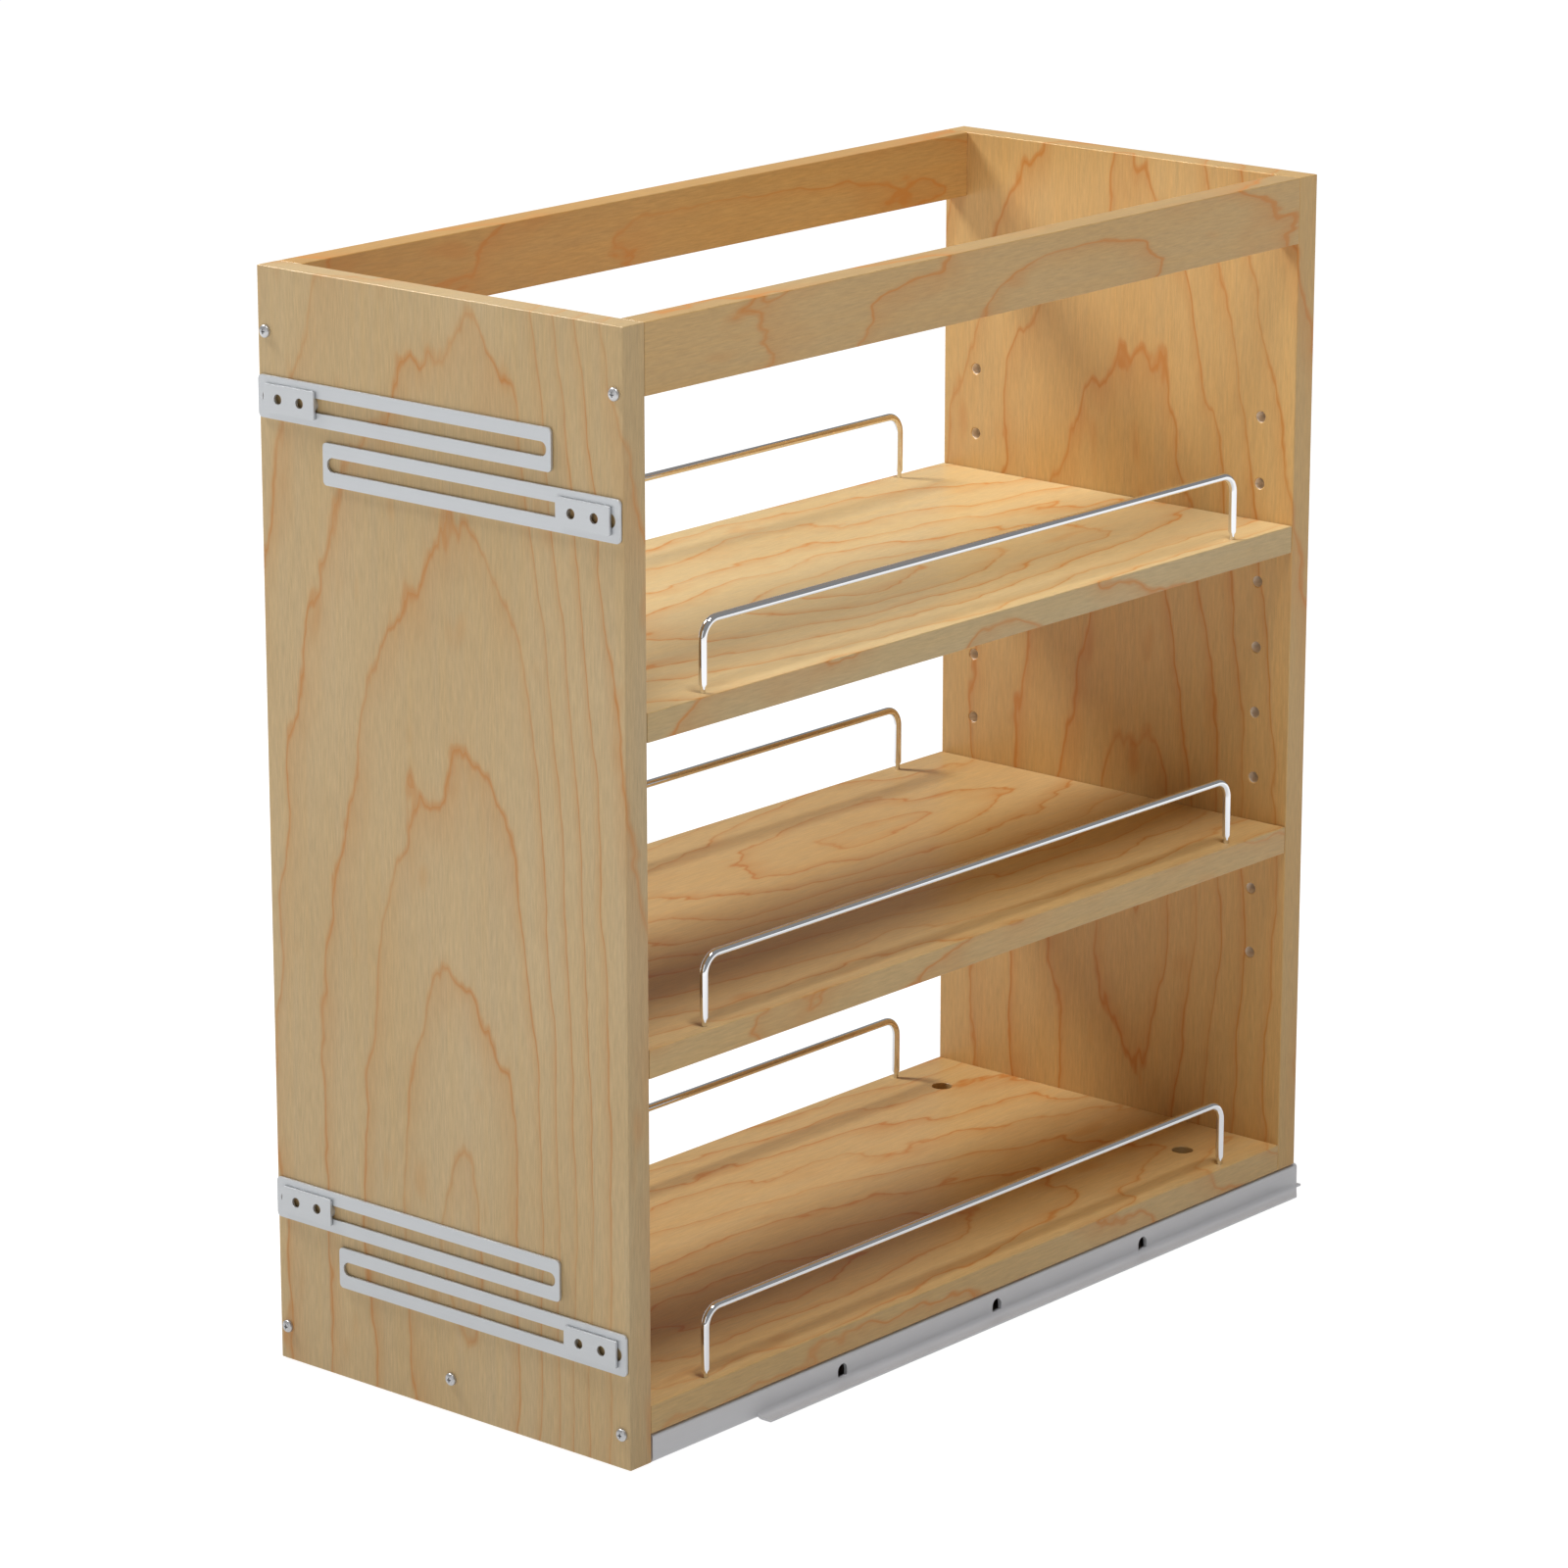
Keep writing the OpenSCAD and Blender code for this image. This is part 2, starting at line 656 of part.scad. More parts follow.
// A channel that opens downwards, screwed up against the bottom shelf
module inner_rail(side) {
    color("silver") translate([side * slide_x, 0, 0]) difference() {
        translate([0, 0, shelf_z0]) mirror([0, 0, 1])
            along_y(slide_y0, moving_len) channel(inner_w, shelf_z0 - inner_rail_z, slide_t);
        for (y = rail_screw_y) translate([0, y, shelf_z0 - slide_t - eps])
            cylinder(h = slide_t + 2 * eps, d = wood_screw_d + 2 * screw_gap);
    }
}

module rail_screws() {
    color("lightgray") for (s = [-1, 1], y = rail_screw_y)
        translate([s * slide_x, y, shelf_z0 - slide_t]) rotate([90, 0, 0])
            y_screw(wood_screw_d, rail_screw_len, wood_head_d, rail_head_h);
}

// Two pierced strips joined by a bridge at each end
module ball_cage(side, z, x, ball_d, ball_z) {
    color("dimgray") translate([side * slide_x, 0, z]) difference() {
        union() {
            for (s = [-1, 1]) translate([s * x - cage_t / 2, cage_y0, 0])
                cube([cage_t, cage_len, ball_z - z + cage_side_h / 2]);
            for (y = [cage_y0, cage_y0 + cage_len - cage_bridge])
                translate([-x - cage_t / 2, y, 0]) cube([2 * x + cage_t, cage_bridge, cage_t]);
        }
        for (y = ball_y) translate([-x - 1, y, ball_z - z]) rotate([0, 90, 0])
            cylinder(h = 2 * x + 2, d = ball_d - 2 * cage_grip);
    }
}

module balls(side, x, d, z) {
    color("white") for (s = [-1, 1], y = ball_y) translate([side * slide_x + s * x, y, z]) sphere(d = d);
}

module rail_bumpers() {
    color("black") for (s = [-1, 1])
        translate([s * slide_x - bumper_w / 2, slide_y1 - bumper_len, outer_z0 + slide_t])
            cube([bumper_w, bumper_len, outer_rail_h - slide_t - bumper_drop]);
}

// ---- Pieces that are made in several copies ----

module top_rail_left() { top_rail(-1); }
module top_rail_right() { top_rail(1); }
module guard_rail_bottom_left() { guard_rail(-1, bottom_top); }
module guard_rail_bottom_right() { guard_rail(1, bottom_top); }
module guard_rail_middle_left() { guard_rail(-1, middle_top); }
module guard_rail_middle_right() { guard_rail(1, middle_top); }
module guard_rail_upper_left() { guard_rail(-1, upper_top); }
module guard_rail_upper_right() { guard_rail(1, upper_top); }
module bracket_arm_upper_left() { bracket_arm(-1, upper_left_z); }
module bracket_arm_upper_right() { bracket_arm(1, upper_right_z); }
module bracket_arm_lower_left() { bracket_arm(-1, lower_left_z); }
module bracket_arm_lower_right() { bracket_arm(1, lower_right_z); }
module bracket_plate_upper_left() { bracket_plate(-1, upper_left_z); }
module bracket_plate_upper_right() { bracket_plate(1, upper_right_z); }
module bracket_plate_lower_left() { bracket_plate(-1, lower_left_z); }
module bracket_plate_lower_right() { bracket_plate(1, lower_right_z); }
module outer_rail_left() { outer_rail(-1); }
module outer_rail_right() { outer_rail(1); }
module middle_rail_left() { middle_rail(-1); }
module middle_rail_right() { middle_rail(1); }
module inner_rail_left() { inner_rail(-1); }
module inner_rail_right() { inner_rail(1); }
module outer_cage_left() { ball_cage(-1, outer_cage_z, outer_ball_x, outer_ball_d, outer_ball_z); }
module outer_cage_right() { ball_cage(1, outer_cage_z, outer_ball_x, outer_ball_d, outer_ball_z); }
module inner_cage_left() { ball_cage(-1, inner_cage_z, inner_ball_x, inner_ball_d, inner_ball_z); }
module inner_cage_right() { ball_cage(1, inner_cage_z, inner_ball_x, inner_ball_d, inner_ball_z); }
module outer_balls_left() { balls(-1, outer_ball_x, outer_ball_d, outer_ball_z); }
module outer_balls_right() { balls(1, outer_ball_x, outer_ball_d, outer_ball_z); }
module inner_balls_left() { balls(-1, inner_ball_x, inner_ball_d, inner_ball_z); }
module inner_balls_right() { balls(1, inner_ball_x, inner_ball_d, inner_ball_z); }

front_panel();
rear_panel();
top_rail_left();
top_rail_right();
bottom_shelf();
middle_shelf();
upper_shelf();
middle_shelf_pegs();
upper_shelf_pegs();
guard_rail_bottom_left();
guard_rail_bottom_right();
guard_rail_middle_left();
guard_rail_middle_right();
guard_rail_upper_left();
guard_rail_upper_right();
front_panel_screws();
rear_panel_screws();
bracket_arm_upper_left();
bracket_arm_upper_right();
bracket_arm_lower_left();
bracket_arm_lower_right();
bracket_plate_upper_left();
bracket_plate_upper_right();
bracket_plate_lower_left();
bracket_plate_lower_right();
bracket_screws();
bracket_washers();
tray_floor();
tray_side_left();
tray_side_right();
outer_rail_left();
outer_rail_right();
middle_rail_left();
middle_rail_right();
inner_rail_left();
inner_rail_right();
outer_cage_left();
outer_cage_right();
inner_cage_left();
inner_cage_right();
outer_balls_left();
outer_balls_right();
inner_balls_left();
inner_balls_right();
rail_rivets();
rail_screws();
rail_bumpers();
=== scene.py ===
"""A pull-out pantry cart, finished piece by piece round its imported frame."""

import json
import math

import bpy
from bpy.props import FloatProperty, FloatVectorProperty, IntProperty, PointerProperty
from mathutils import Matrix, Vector

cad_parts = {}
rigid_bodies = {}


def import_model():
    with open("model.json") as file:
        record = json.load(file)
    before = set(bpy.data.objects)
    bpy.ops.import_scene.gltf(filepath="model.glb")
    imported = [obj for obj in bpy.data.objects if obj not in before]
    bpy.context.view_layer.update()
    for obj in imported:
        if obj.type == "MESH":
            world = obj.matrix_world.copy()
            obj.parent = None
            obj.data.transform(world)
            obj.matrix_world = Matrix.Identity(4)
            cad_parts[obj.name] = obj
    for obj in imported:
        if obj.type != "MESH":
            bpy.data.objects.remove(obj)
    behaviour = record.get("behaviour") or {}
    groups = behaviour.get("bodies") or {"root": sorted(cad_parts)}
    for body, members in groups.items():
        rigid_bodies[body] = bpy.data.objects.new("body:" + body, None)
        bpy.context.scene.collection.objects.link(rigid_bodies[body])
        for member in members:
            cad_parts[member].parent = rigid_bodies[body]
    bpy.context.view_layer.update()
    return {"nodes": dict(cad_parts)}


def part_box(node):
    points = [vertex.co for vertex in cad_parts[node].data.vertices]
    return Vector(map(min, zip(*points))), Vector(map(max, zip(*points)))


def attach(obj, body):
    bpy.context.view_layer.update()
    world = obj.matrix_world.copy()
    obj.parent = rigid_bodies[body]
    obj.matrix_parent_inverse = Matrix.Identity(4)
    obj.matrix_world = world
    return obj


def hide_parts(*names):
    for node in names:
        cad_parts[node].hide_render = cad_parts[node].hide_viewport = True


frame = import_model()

bl_info = {
    "name": "Pull-out Pantry Cart",
    "version": (1, 0, 0),
    "blender": (4, 5, 0),
    "location": "View3D > Sidebar > Pantry Cart",
    "description": "Builds the boards, guard rails, door brackets and slides of a pull-out pantry cart",
    "category": "Add Mesh",
}

MM = 0.001
X, Y, Z = 0, 1, 2
LEVELS = ("bottom", "middle", "upper")
SIDES = ("left", "right")
CORNERS = ("upper_left", "upper_right", "lower_left", "lower_right")

# Sizes that the frame's boxes don't give
PEG_HOLE_INSET = 23.5 * MM
PEG_HOLE_D = 6.3 * MM
PEG_HOLE_DEPTH = 10 * MM
PEG_HOLE_HEIGHTS = [z * MM for z in (142.7, 180.7, 204.1, 246.3, 284.3, 322.3, 360.3, 378.65, 416.65,
                                     454.65)]
WIRE_D = 4.4 * MM
WIRE_BEND_R = 10 * MM
SPIGOT_D = 2.8 * MM
SPIGOT_HOLE_D = 2.9 * MM
SPIGOT_DEPTH = 9 * MM
TAPER_Z = 3 * MM
TAPER_H = 1.5 * MM
WOOD_SCREW_D = 3.2 * MM
WOOD_HEAD_D = 7.1 * MM
WOOD_HEAD_H = 2.2 * MM
WOOD_RECESS = 3.7 * MM
WOOD_SCREW_L = 32 * MM
WOOD_SCREW_INSET = 5.5 * MM
WOOD_SCREW_RISE = 3 * MM
SLOT_W = 7.5 * MM
SLOT_MARGIN = 3.1 * MM
PLATE_HOLE_PITCH = 15.5 * MM
PLATE_HOLE_D = 5.3 * MM
PLATE_T = 1.5 * MM
COLLAR_D = 6.9 * MM
COLLAR_STEP = 14.45 * MM
BRACKET_SCREW_D = 4 * MM
BRACKET_HEAD_D = 8.5 * MM
BRACKET_HEAD_H = 2.4 * MM
BRACKET_RECESS = 4.4 * MM
WASHER_D = 10 * MM
ACCESS_D = 12 * MM
ACCESS_INSET = 36.7 * MM
ACCESS_REAR = 58.4 * MM
SNUG = 0.05 * MM         # play all round a screw that bites
LOOSE = 0.2 * MM         # play all round a screw that passes through
PAST = 1 * MM            # how far a cutter runs on past a face
COLUMN_MARGIN = 9 * MM   # how far the bare wood may reach above and below a column of peg holes
SKIN = 1 * MM            # a panel's thickness that is left out of it, at the outer face


# ---- Workbench: selecting, shaping and placing -------------------------------------------------


def only(*pieces):
    """Selects these pieces and nothing else, the first of them active."""
    for other in bpy.context.view_layer.objects:
        other.select_set(False)
    for piece in pieces:
        piece.select_set(True)
    bpy.context.view_layer.objects.active = pieces[0]


def settle():
    """Moves the active piece's place, turn and size into its mesh."""
    bpy.ops.object.transform_apply(location=True, rotation=True, scale=True)
    return bpy.context.object


def block(name, lo, hi):
    """A rectangular piece between two corners."""
    lo, hi = Vector(lo), Vector(hi)
    bpy.ops.object.select_all(action="DESELECT")
    bpy.ops.mesh.primitive_cube_add(size=1, location=(lo + hi) / 2)
    piece = bpy.context.object
    piece.name = piece.data.name = name
    piece.scale = hi - lo
    return settle()


def rod(name, start, axis, radius, length, sides=32):
    """A round piece that starts at a point and runs along an axis, given as a signed unit vector."""
    start, axis = Vector(start), Vector(axis)
    bpy.ops.object.select_all(action="DESELECT")
    bpy.ops.mesh.primitive_cylinder_add(
        vertices=sides, radius=radius, depth=length, location=start + axis * length / 2,
        rotation=axis.to_track_quat("Z", "Y").to_euler())
    piece = bpy.context.object
    piece.name = piece.data.name = name
    return settle()


def choose(piece, kind, test):
    """In edit mode, selects the vertices, edges or faces that pass a test on their mesh data."""
    bpy.ops.mesh.select_mode(type=kind)
    bpy.ops.mesh.select_all(action="DESELECT")
    bpy.ops.object.mode_set(mode="OBJECT")
    mesh = piece.data
    items = {"VERT": mesh.vertices, "EDGE": mesh.edges, "FACE": mesh.polygons}[kind]
    for item in items:
        item.select = bool(test(item))
    bpy.ops.object.mode_set(mode="EDIT")


def edge_ends(piece, edge):
    """Where an edge starts and stops."""
    return [piece.data.vertices[i].co for i in edge.vertices]


def sharp_edges(piece, least=math.radians(35)):
    """The numbers of the edges whose two faces meet at more than an angle."""
    faces = {}
    for face in piece.data.polygons:
        for key in face.edge_keys:
            faces.setdefault(key, []).append(face.normal)
    return {key for key, pair in faces.items() if len(pair) == 2 and pair[0].angle(pair[1], 0) > least}


def ease(piece, width, segments=2, test=None):
    """Rounds a piece's sharp edges, or those of them that pass a test."""
    only(piece)
    sharp = sharp_edges(piece)
    bpy.ops.object.mode_set(mode="EDIT")
    choose(piece, "EDGE", lambda e: tuple(sorted(e.vertices)) in sharp and (test is None or test(e)))
    bpy.ops.mesh.bevel(offset=width, segments=segments, affect="EDGES", clamp_overlap=True)
    bpy.ops.object.mode_set(mode="OBJECT")
    return piece


def round_corners(piece, axis, radius, segments):
    """Rounds the edges that run along an axis."""
    def along(edge):
        a, b = edge_ends(piece, edge)
        run = b - a
        return abs(run[axis]) > 0.99 * run.length
    return ease(piece, radius, segments, along)


def cut(piece, *cutters):
    """Takes the cutters' shapes out of a piece."""
    only(*cutters)
    if len(cutters) > 1:
        bpy.ops.object.join()
    cutter = bpy.context.object
    only(piece)
    bpy.ops.object.modifier_add(type="BOOLEAN")
    modifier = piece.modifiers[-1]
    modifier.operation = "DIFFERENCE"
    modifier.solver = "EXACT"
    modifier.object = cutter
    bpy.ops.object.modifier_apply(modifier=modifier.name)
    bpy.data.objects.remove(cutter)
    return piece


def join(name, *pieces):
    """Makes one piece of several."""
    only(*pieces)
    if len(pieces) > 1:
        bpy.ops.object.join()
    piece = bpy.context.object
    piece.name = piece.data.name = name
    return piece


def another(piece, name, move, turn=0.0):
    """A copy with its own mesh, turned round Z and then moved, both inside its mesh."""
    only(piece)
    bpy.ops.object.duplicate(linked=False)
    copy = bpy.context.object
    copy.name = copy.data.name = name
    copy.location = Vector(move)
    copy.rotation_euler = (0, 0, turn)
    return settle()


def smooth(piece, angle=40):
    """Smooths the shading over gentle edges and keeps the flats flat."""
    only(piece)
    bpy.ops.object.shade_smooth_by_angle(angle=math.radians(angle), keep_sharp_edges=False)
    bpy.ops.object.modifier_add(type="WEIGHTED_NORMAL")
    modifier = piece.modifiers[-1]
    modifier.keep_sharp = True
    modifier.weight = 100
    bpy.ops.object.modifier_apply(modifier=modifier.name)
    return piece


def remade(node, edge=0.15 * MM, segments=1):
    """A copy of a frame node with its doubles merged and its edges eased, which stands for it."""
    source = frame["nodes"][node]
    piece = bpy.data.objects.new(node + "_finished", source.data.copy())
    bpy.context.scene.collection.objects.link(piece)
    piece.data.materials.clear()
    only(piece)
    bpy.ops.object.mode_set(mode="EDIT")
    bpy.ops.mesh.select_all(action="SELECT")
    bpy.ops.mesh.remove_doubles(threshold=1e-6)
    bpy.ops.mesh.dissolve_limited(angle_limit=math.radians(0.6))
    bpy.ops.object.mode_set(mode="OBJECT")
    if edge:
        ease(piece, edge, segments)
    return piece


def hand_over(piece, material, body, node):
    """Gives a finished piece its material and slot, and sets it on its body in place of its node."""
    piece.data.materials.clear()
    piece.data.materials.append(material)
    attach(piece, body)
    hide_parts(node)


# ---- Finishes ----------------------------------------------------------------------------------


LINES_THROUGH = 22   # growth lines met per metre through a board
EDGE_DARK_AND_SHADE = 0.12     # how much darker a board's cut edges are painted than its face: partly the ply edge's own colour, partly painted shade for sides that face away from the light
GRIND = 600.0        # scale of the marks across a brushed sheet
GRIND_RUN = 12.0     # their scale along it


class Wire:
    """A socket in a finish, so that shader maths can be written as a formula."""

    def __init__(self, finish, socket):
        self.finish, self.socket = finish, socket

    def __add__(self, other): return self.finish.maths("ADD", self, other)
    def __radd__(self, other): return self.finish.maths("ADD", other, self)
    def __sub__(self, other): return self.finish.maths("SUBTRACT", self, other)
    def __rsub__(self, other): return self.finish.maths("SUBTRACT", other, self)
    def __mul__(self, other): return self.finish.maths("MULTIPLY", self, other)
    def __rmul__(self, other): return self.finish.maths("MULTIPLY", other, self)
    def __abs__(self): return self.finish.maths("ABSOLUTE", self)


class Finish:
    """A material built from nodes."""

    def __init__(self, name):
        self.material = bpy.data.materials.new(name)
        self.material.use_nodes = True
        self.tree = self.material.node_tree
        self.tree.nodes.clear()

    def node(self, kind, output=0, settings=None, **inputs):
        """Adds a node: its settings first, then its inputs by name or number, as values or wires."""
        made = self.tree.nodes.new(kind)
        for key, value in (settings or {}).items():
            setattr(made, key, value)
        for key, value in inputs.items():
            socket = made.inputs[int(key[1:])] if key[0] == "_" else made.inputs[key.replace("_", " ")]
            if isinstance(value, Wire):
                self.tree.links.new(value.socket, socket)
            else:
                socket.default_value = value
        return Wire(self, made.outputs[output])

    def maths(self, operation, *values):
        return self.node("ShaderNodeMath", 0, {"operation": operation},
                         **{"_%d" % i: value for i, value in enumerate(values)})

    def clamp(self, value):
        return self.node("ShaderNodeClamp", 0, None, Value=value)

    def mix(self, amount, first, second, blend="MIX"):
        """Mixes two colours, or multiplies them where blend says so."""
        return self.node("ShaderNodeMix", 2, {"data_type": "RGBA", "blend_type": blend},
                         _0=amount, _6=first, _7=second)

    def place(self):
        """Where a point is on the object, as one vector."""
        return self.node("ShaderNodeTexCoord", "Object")

    def axes(self, vector):
        """A vector's three parts."""
        parts = self.node("ShaderNodeSeparateXYZ", 0, None, Vector=vector).socket.node
        return [Wire(self, output) for output in parts.outputs]

    def vector(self, x, y, z):
        return self.node("ShaderNodeCombineXYZ", 0, None, X=x, Y=y, Z=z)

    def noise(self, vector, scale=1.0, detail=2.0, roughness=0.5):
        """Noise between 0 and 1 round a mean of one half."""
        return self.node("ShaderNodeTexNoise", "Fac", {"noise_dimensions": "3D"}, Vector=vector,
                         Scale=scale, Detail=detail, Roughness=roughness, Distortion=0.0)

    def band(self, value, low, high):
        """Climbs smoothly from 0 to 1 as the value climbs from low to high."""
        return self.node("ShaderNodeMapRange", 0, {"interpolation_type": "SMOOTHSTEP"},
                         Value=value, _1=low, _2=high, _3=0.0, _4=1.0)

    def bump(self, height, distance, strength):
        return self.node("ShaderNodeBump", 0, None, Height=height, Distance=distance, Strength=strength)

    def close(self, **inputs):
        """Ends the material in its surface shader."""
        surface = self.node("ShaderNodeBsdfPrincipled", 0, None, **inputs)
        out = self.tree.nodes.new("ShaderNodeOutputMaterial")
        self.tree.links.new(surface.socket, out.inputs["Surface"])
        return self.material


def maple(name, grain, through, heart, spread, dense, wander, seed, pale, warm, line, bold,
          drilled=None, bare=None):
    """Clear-coated rotary-cut maple ply, whose growth lines ring a heart stretched along the grain.
    heart is its place across and along the board. spread is the distance between lines across, and
    how many times longer they are along. dense is a strip across the board and the number of extra
    lines in it. wander is how far the broad, middling and fine waves move the lines, and bold how
    strongly the lines are drawn. drilled gives how far from the middle the columns of holes are,
    their half-width, their lowest and highest place, and the depths between which their walls show.
    bare is the colour of the wood in them: the bare wood's own paler tone, made near white partly as a
    painted highlight for the lit hole bottoms."""
    f = Finish(name)
    parts = f.axes(f.place())
    across_axis = 3 - grain - through
    along, across, deep = parts[grain], parts[across_axis], parts[through]

    def grained(a, b, c, detail=2.0, roughness=0.5):
        return f.noise(f.vector(across * a + seed, along * b + seed * 1.7, deep * c + seed * 0.6),
                       detail=detail, roughness=roughness)

    off_across, off_along = across - heart[0], (along - heart[1]) * (1 / spread[1])
    rings = f.maths("SQRT", off_across * off_across + off_along * off_along) * (1 / spread[0])
    field = (rings + f.band(across, dense[0], dense[1]) * dense[2] + deep * LINES_THROUGH
             + (grained(9, 3.4, 6, 1.0) - 0.5) * wander[0]
             + (grained(40, 15, 25, 3.0) - 0.5) * wander[1]
             + (grained(260, 30, 160, 2.0) - 0.5) * wander[2])
    ring = f.maths("FRACT", field)
    gap = f.maths("PINGPONG", field, 0.5)
    strength = f.band(grained(18, 6, 18), 0.30, 0.62) * 0.55 + 0.45
    thin = f.band(gap, 0.050, 0.004) * 0.70
    wash = f.band(ring, 0.55, 1.0) * 0.34 + f.band(gap, 0.14, 0.0) * 0.16
    smudge = f.band(grained(52, 17, 52, 1.0), 0.66, 0.84) * 0.45
    fibre = grained(1000, 80, 1000, 3.0, 0.7)
    streak = grained(170, 5, 170)
    cloud = grained(12, 4, 12)
    body = f.mix(f.clamp(cloud * 0.9 + streak * 0.5 - 0.2), pale, warm)
    facing = f.node("ShaderNodeTexCoord", "Normal")
    # edge marks the narrow faces, which are darkened partly for the cut ply's own colour and partly as
    # painted shade, because side faces are darker for how the light falls
    edge = 1.0 - f.band(abs(f.axes(facing)[through]), 0.45, 0.75)
    shade = ((fibre - 0.5) * 0.52 + (streak - 0.5) * 0.20 + 1.0) * (1.0 - edge * EDGE_DARK_AND_SHADE)
    body = f.mix(1.0, body, f.vector(shade, shade, shade), "MULTIPLY")
    colour = f.mix(f.clamp((thin + wash) * strength * bold + smudge), body, line)
    # The hole walls take the bare colour: partly the bare wood's own tone, partly a painted highlight
    # for the lit hole bottoms.
    if drilled:
        column, half, low, high, nearer, farther = drilled
        inside = (f.maths("LESS_THAN", abs(abs(across) - column), half)
                  * f.maths("GREATER_THAN", along, low) * f.maths("LESS_THAN", along, high)
                  * f.maths("GREATER_THAN", deep, nearer) * f.maths("LESS_THAN", deep, farther))
        colour = f.mix(inside, colour, bare)
    gloss = (fibre - 0.5) * 0.12 + 0.38
    normal = f.bump(fibre * 0.6 + streak * 0.4 - thin * 0.2, 0.0001, 0.3)
    return f.close(Base_Color=colour, Roughness=gloss, Normal=normal, Specular_IOR_Level=0.22,
                   Coat_Weight=0.12, Coat_Roughness=0.25)


def steel(name, colour, rough, brushed=None, metal=1.0):
    """Plated steel, brushed along an axis or left plain."""
    f = Finish(name)
    place = f.place()
    marks = [part * (GRIND_RUN if axis == brushed else GRIND)
             for axis, part in enumerate(f.axes(place))]
    lines = f.noise(f.vector(*marks), detail=3, roughness=0.6)
    cloudy = f.noise(place, scale=45.0, detail=2)
    body = f.mix(f.clamp(lines * 0.5 + cloudy * 0.5), scaled(colour, 0.86), colour)
    gloss = rough + (lines - 0.5) * 0.10 + (cloudy - 0.5) * 0.08
    normal = f.bump(lines, 0.00003, 0.25)
    return f.close(Base_Color=body, Metallic=metal, Roughness=gloss, Normal=normal)


def chrome(name, colour):
    """Bright polished chrome with the faintest haze."""
    f = Finish(name)
    place = f.place()
    haze = f.noise(place, scale=120.0, detail=2)
    return f.close(Base_Color=colour, Metallic=1.0, Roughness=0.03 + haze * 0.03,
                   Normal=f.bump(f.noise(place, scale=260.0, detail=1), 0.00002, 0.1))


def rubber(name, colour):
    """Moulded black rubber."""
    f = Finish(name)
    place = f.place()
    grain = f.noise(place, scale=900.0, detail=2)
    worn = f.noise(place, scale=60.0, detail=2)
    return f.close(Base_Color=f.mix(worn, colour, scaled(colour, 1.8)),
                   Roughness=0.62 + grain * 0.2, Normal=f.bump(grain, 0.0001, 0.5))


def colour4(colour):
    """A setting's colour, made opaque."""
    return (*colour, 1.0)


def scaled(colour, by):
    """A colour lightened or darkened by a number, or by one for each channel."""
    channels = by if isinstance(by, tuple) else (by, by, by)
    return colour4(min(1.0, c * m) for c, m in zip(colour, channels))


_finishes = {}


def finish(name, make, *args, **kwargs):
    """Makes a material once and hands it out each time it is asked for."""
    if name not in _finishes:
        _finishes[name] = make(name, *args, **kwargs)
    return _finishes[name]


# ---- Settings ----------------------------------------------------------------------------------


class BoardSettings(bpy.types.PropertyGroup):
    """Sizes and colours of the plywood boards."""
    arris: FloatProperty(
        name="Arris", description="Radius of the boards' eased edges",
        default=0.6 * MM, min=0.1 * MM, max=2 * MM, unit="LENGTH", subtype="DISTANCE")
    mouth: FloatProperty(
        name="Hole Mouth", description="Width of the chamfer round each peg hole",
        default=0.45 * MM, min=0.0, max=1 * MM, unit="LENGTH", subtype="DISTANCE")
    pale: FloatVectorProperty(
        name="Pale Maple", description="Lightest colour of the maple veneer",
        default=(0.675, 0.496, 0.268), size=3, min=0, max=1, subtype="COLOR")
    warm: FloatVectorProperty(
        name="Warm Maple", description="Deeper colour of the maple veneer",
        default=(0.570, 0.362, 0.142), size=3, min=0, max=1, subtype="COLOR")
    # Bare Maple is the bare wood's own paler tone, made near white partly as a painted highlight for
    # the lit bottoms of the peg holes.
    bare: FloatVectorProperty(
        name="Bare Maple", description="Colour of the unlacquered wood in the peg holes",
        default=(1.00, 0.87, 0.72), size=3, min=0, max=1, subtype="COLOR")
    line: FloatVectorProperty(
        name="Growth Line", description="Colour of the growth lines",
        default=(0.580, 0.245, 0.058), size=3, min=0, max=1, subtype="COLOR")


class WireSettings(bpy.types.PropertyGroup):
    """Shape and colour of the guard rails."""
    bend_steps: IntProperty(
        name="Bend Steps", description="Steps round each bend of a guard rail",
        default=14, min=6, max=40)
    sides: IntProperty(
        name="Sides", description="Sides round the wire", default=28, min=12, max=64)
    chrome: FloatVectorProperty(
        name="Chrome", description="Colour of the chrome plate",
        default=(0.80, 0.81, 0.83), size=3, min=0, max=1, subtype="COLOR")


class BracketSettings(bpy.types.PropertyGroup):
    """Shape and colour of the door brackets and the screws."""
    edge: FloatProperty(
        name="Pressed Edge", description="Radius of the pressed edges of arms and plates",
        default=0.22 * MM, min=0.05 * MM, max=0.5 * MM, unit="LENGTH", subtype="DISTANCE")
    corner: FloatProperty(
        name="Arm Corner", description="Radius of an arm's corners",
        default=2.5 * MM, min=0.5 * MM, max=5 * MM, unit="LENGTH", subtype="DISTANCE")
    zinc: FloatVectorProperty(
        name="Bracket Zinc", description="Colour of the satin zinc on the brackets",
        default=(0.66, 0.68, 0.70), size=3, min=0, max=1, subtype="COLOR")
    screw_zinc: FloatVectorProperty(
        name="Screw Zinc", description="Colour of the bright zinc on the screws",
        default=(0.60, 0.60, 0.61), size=3, min=0, max=1, subtype="COLOR")


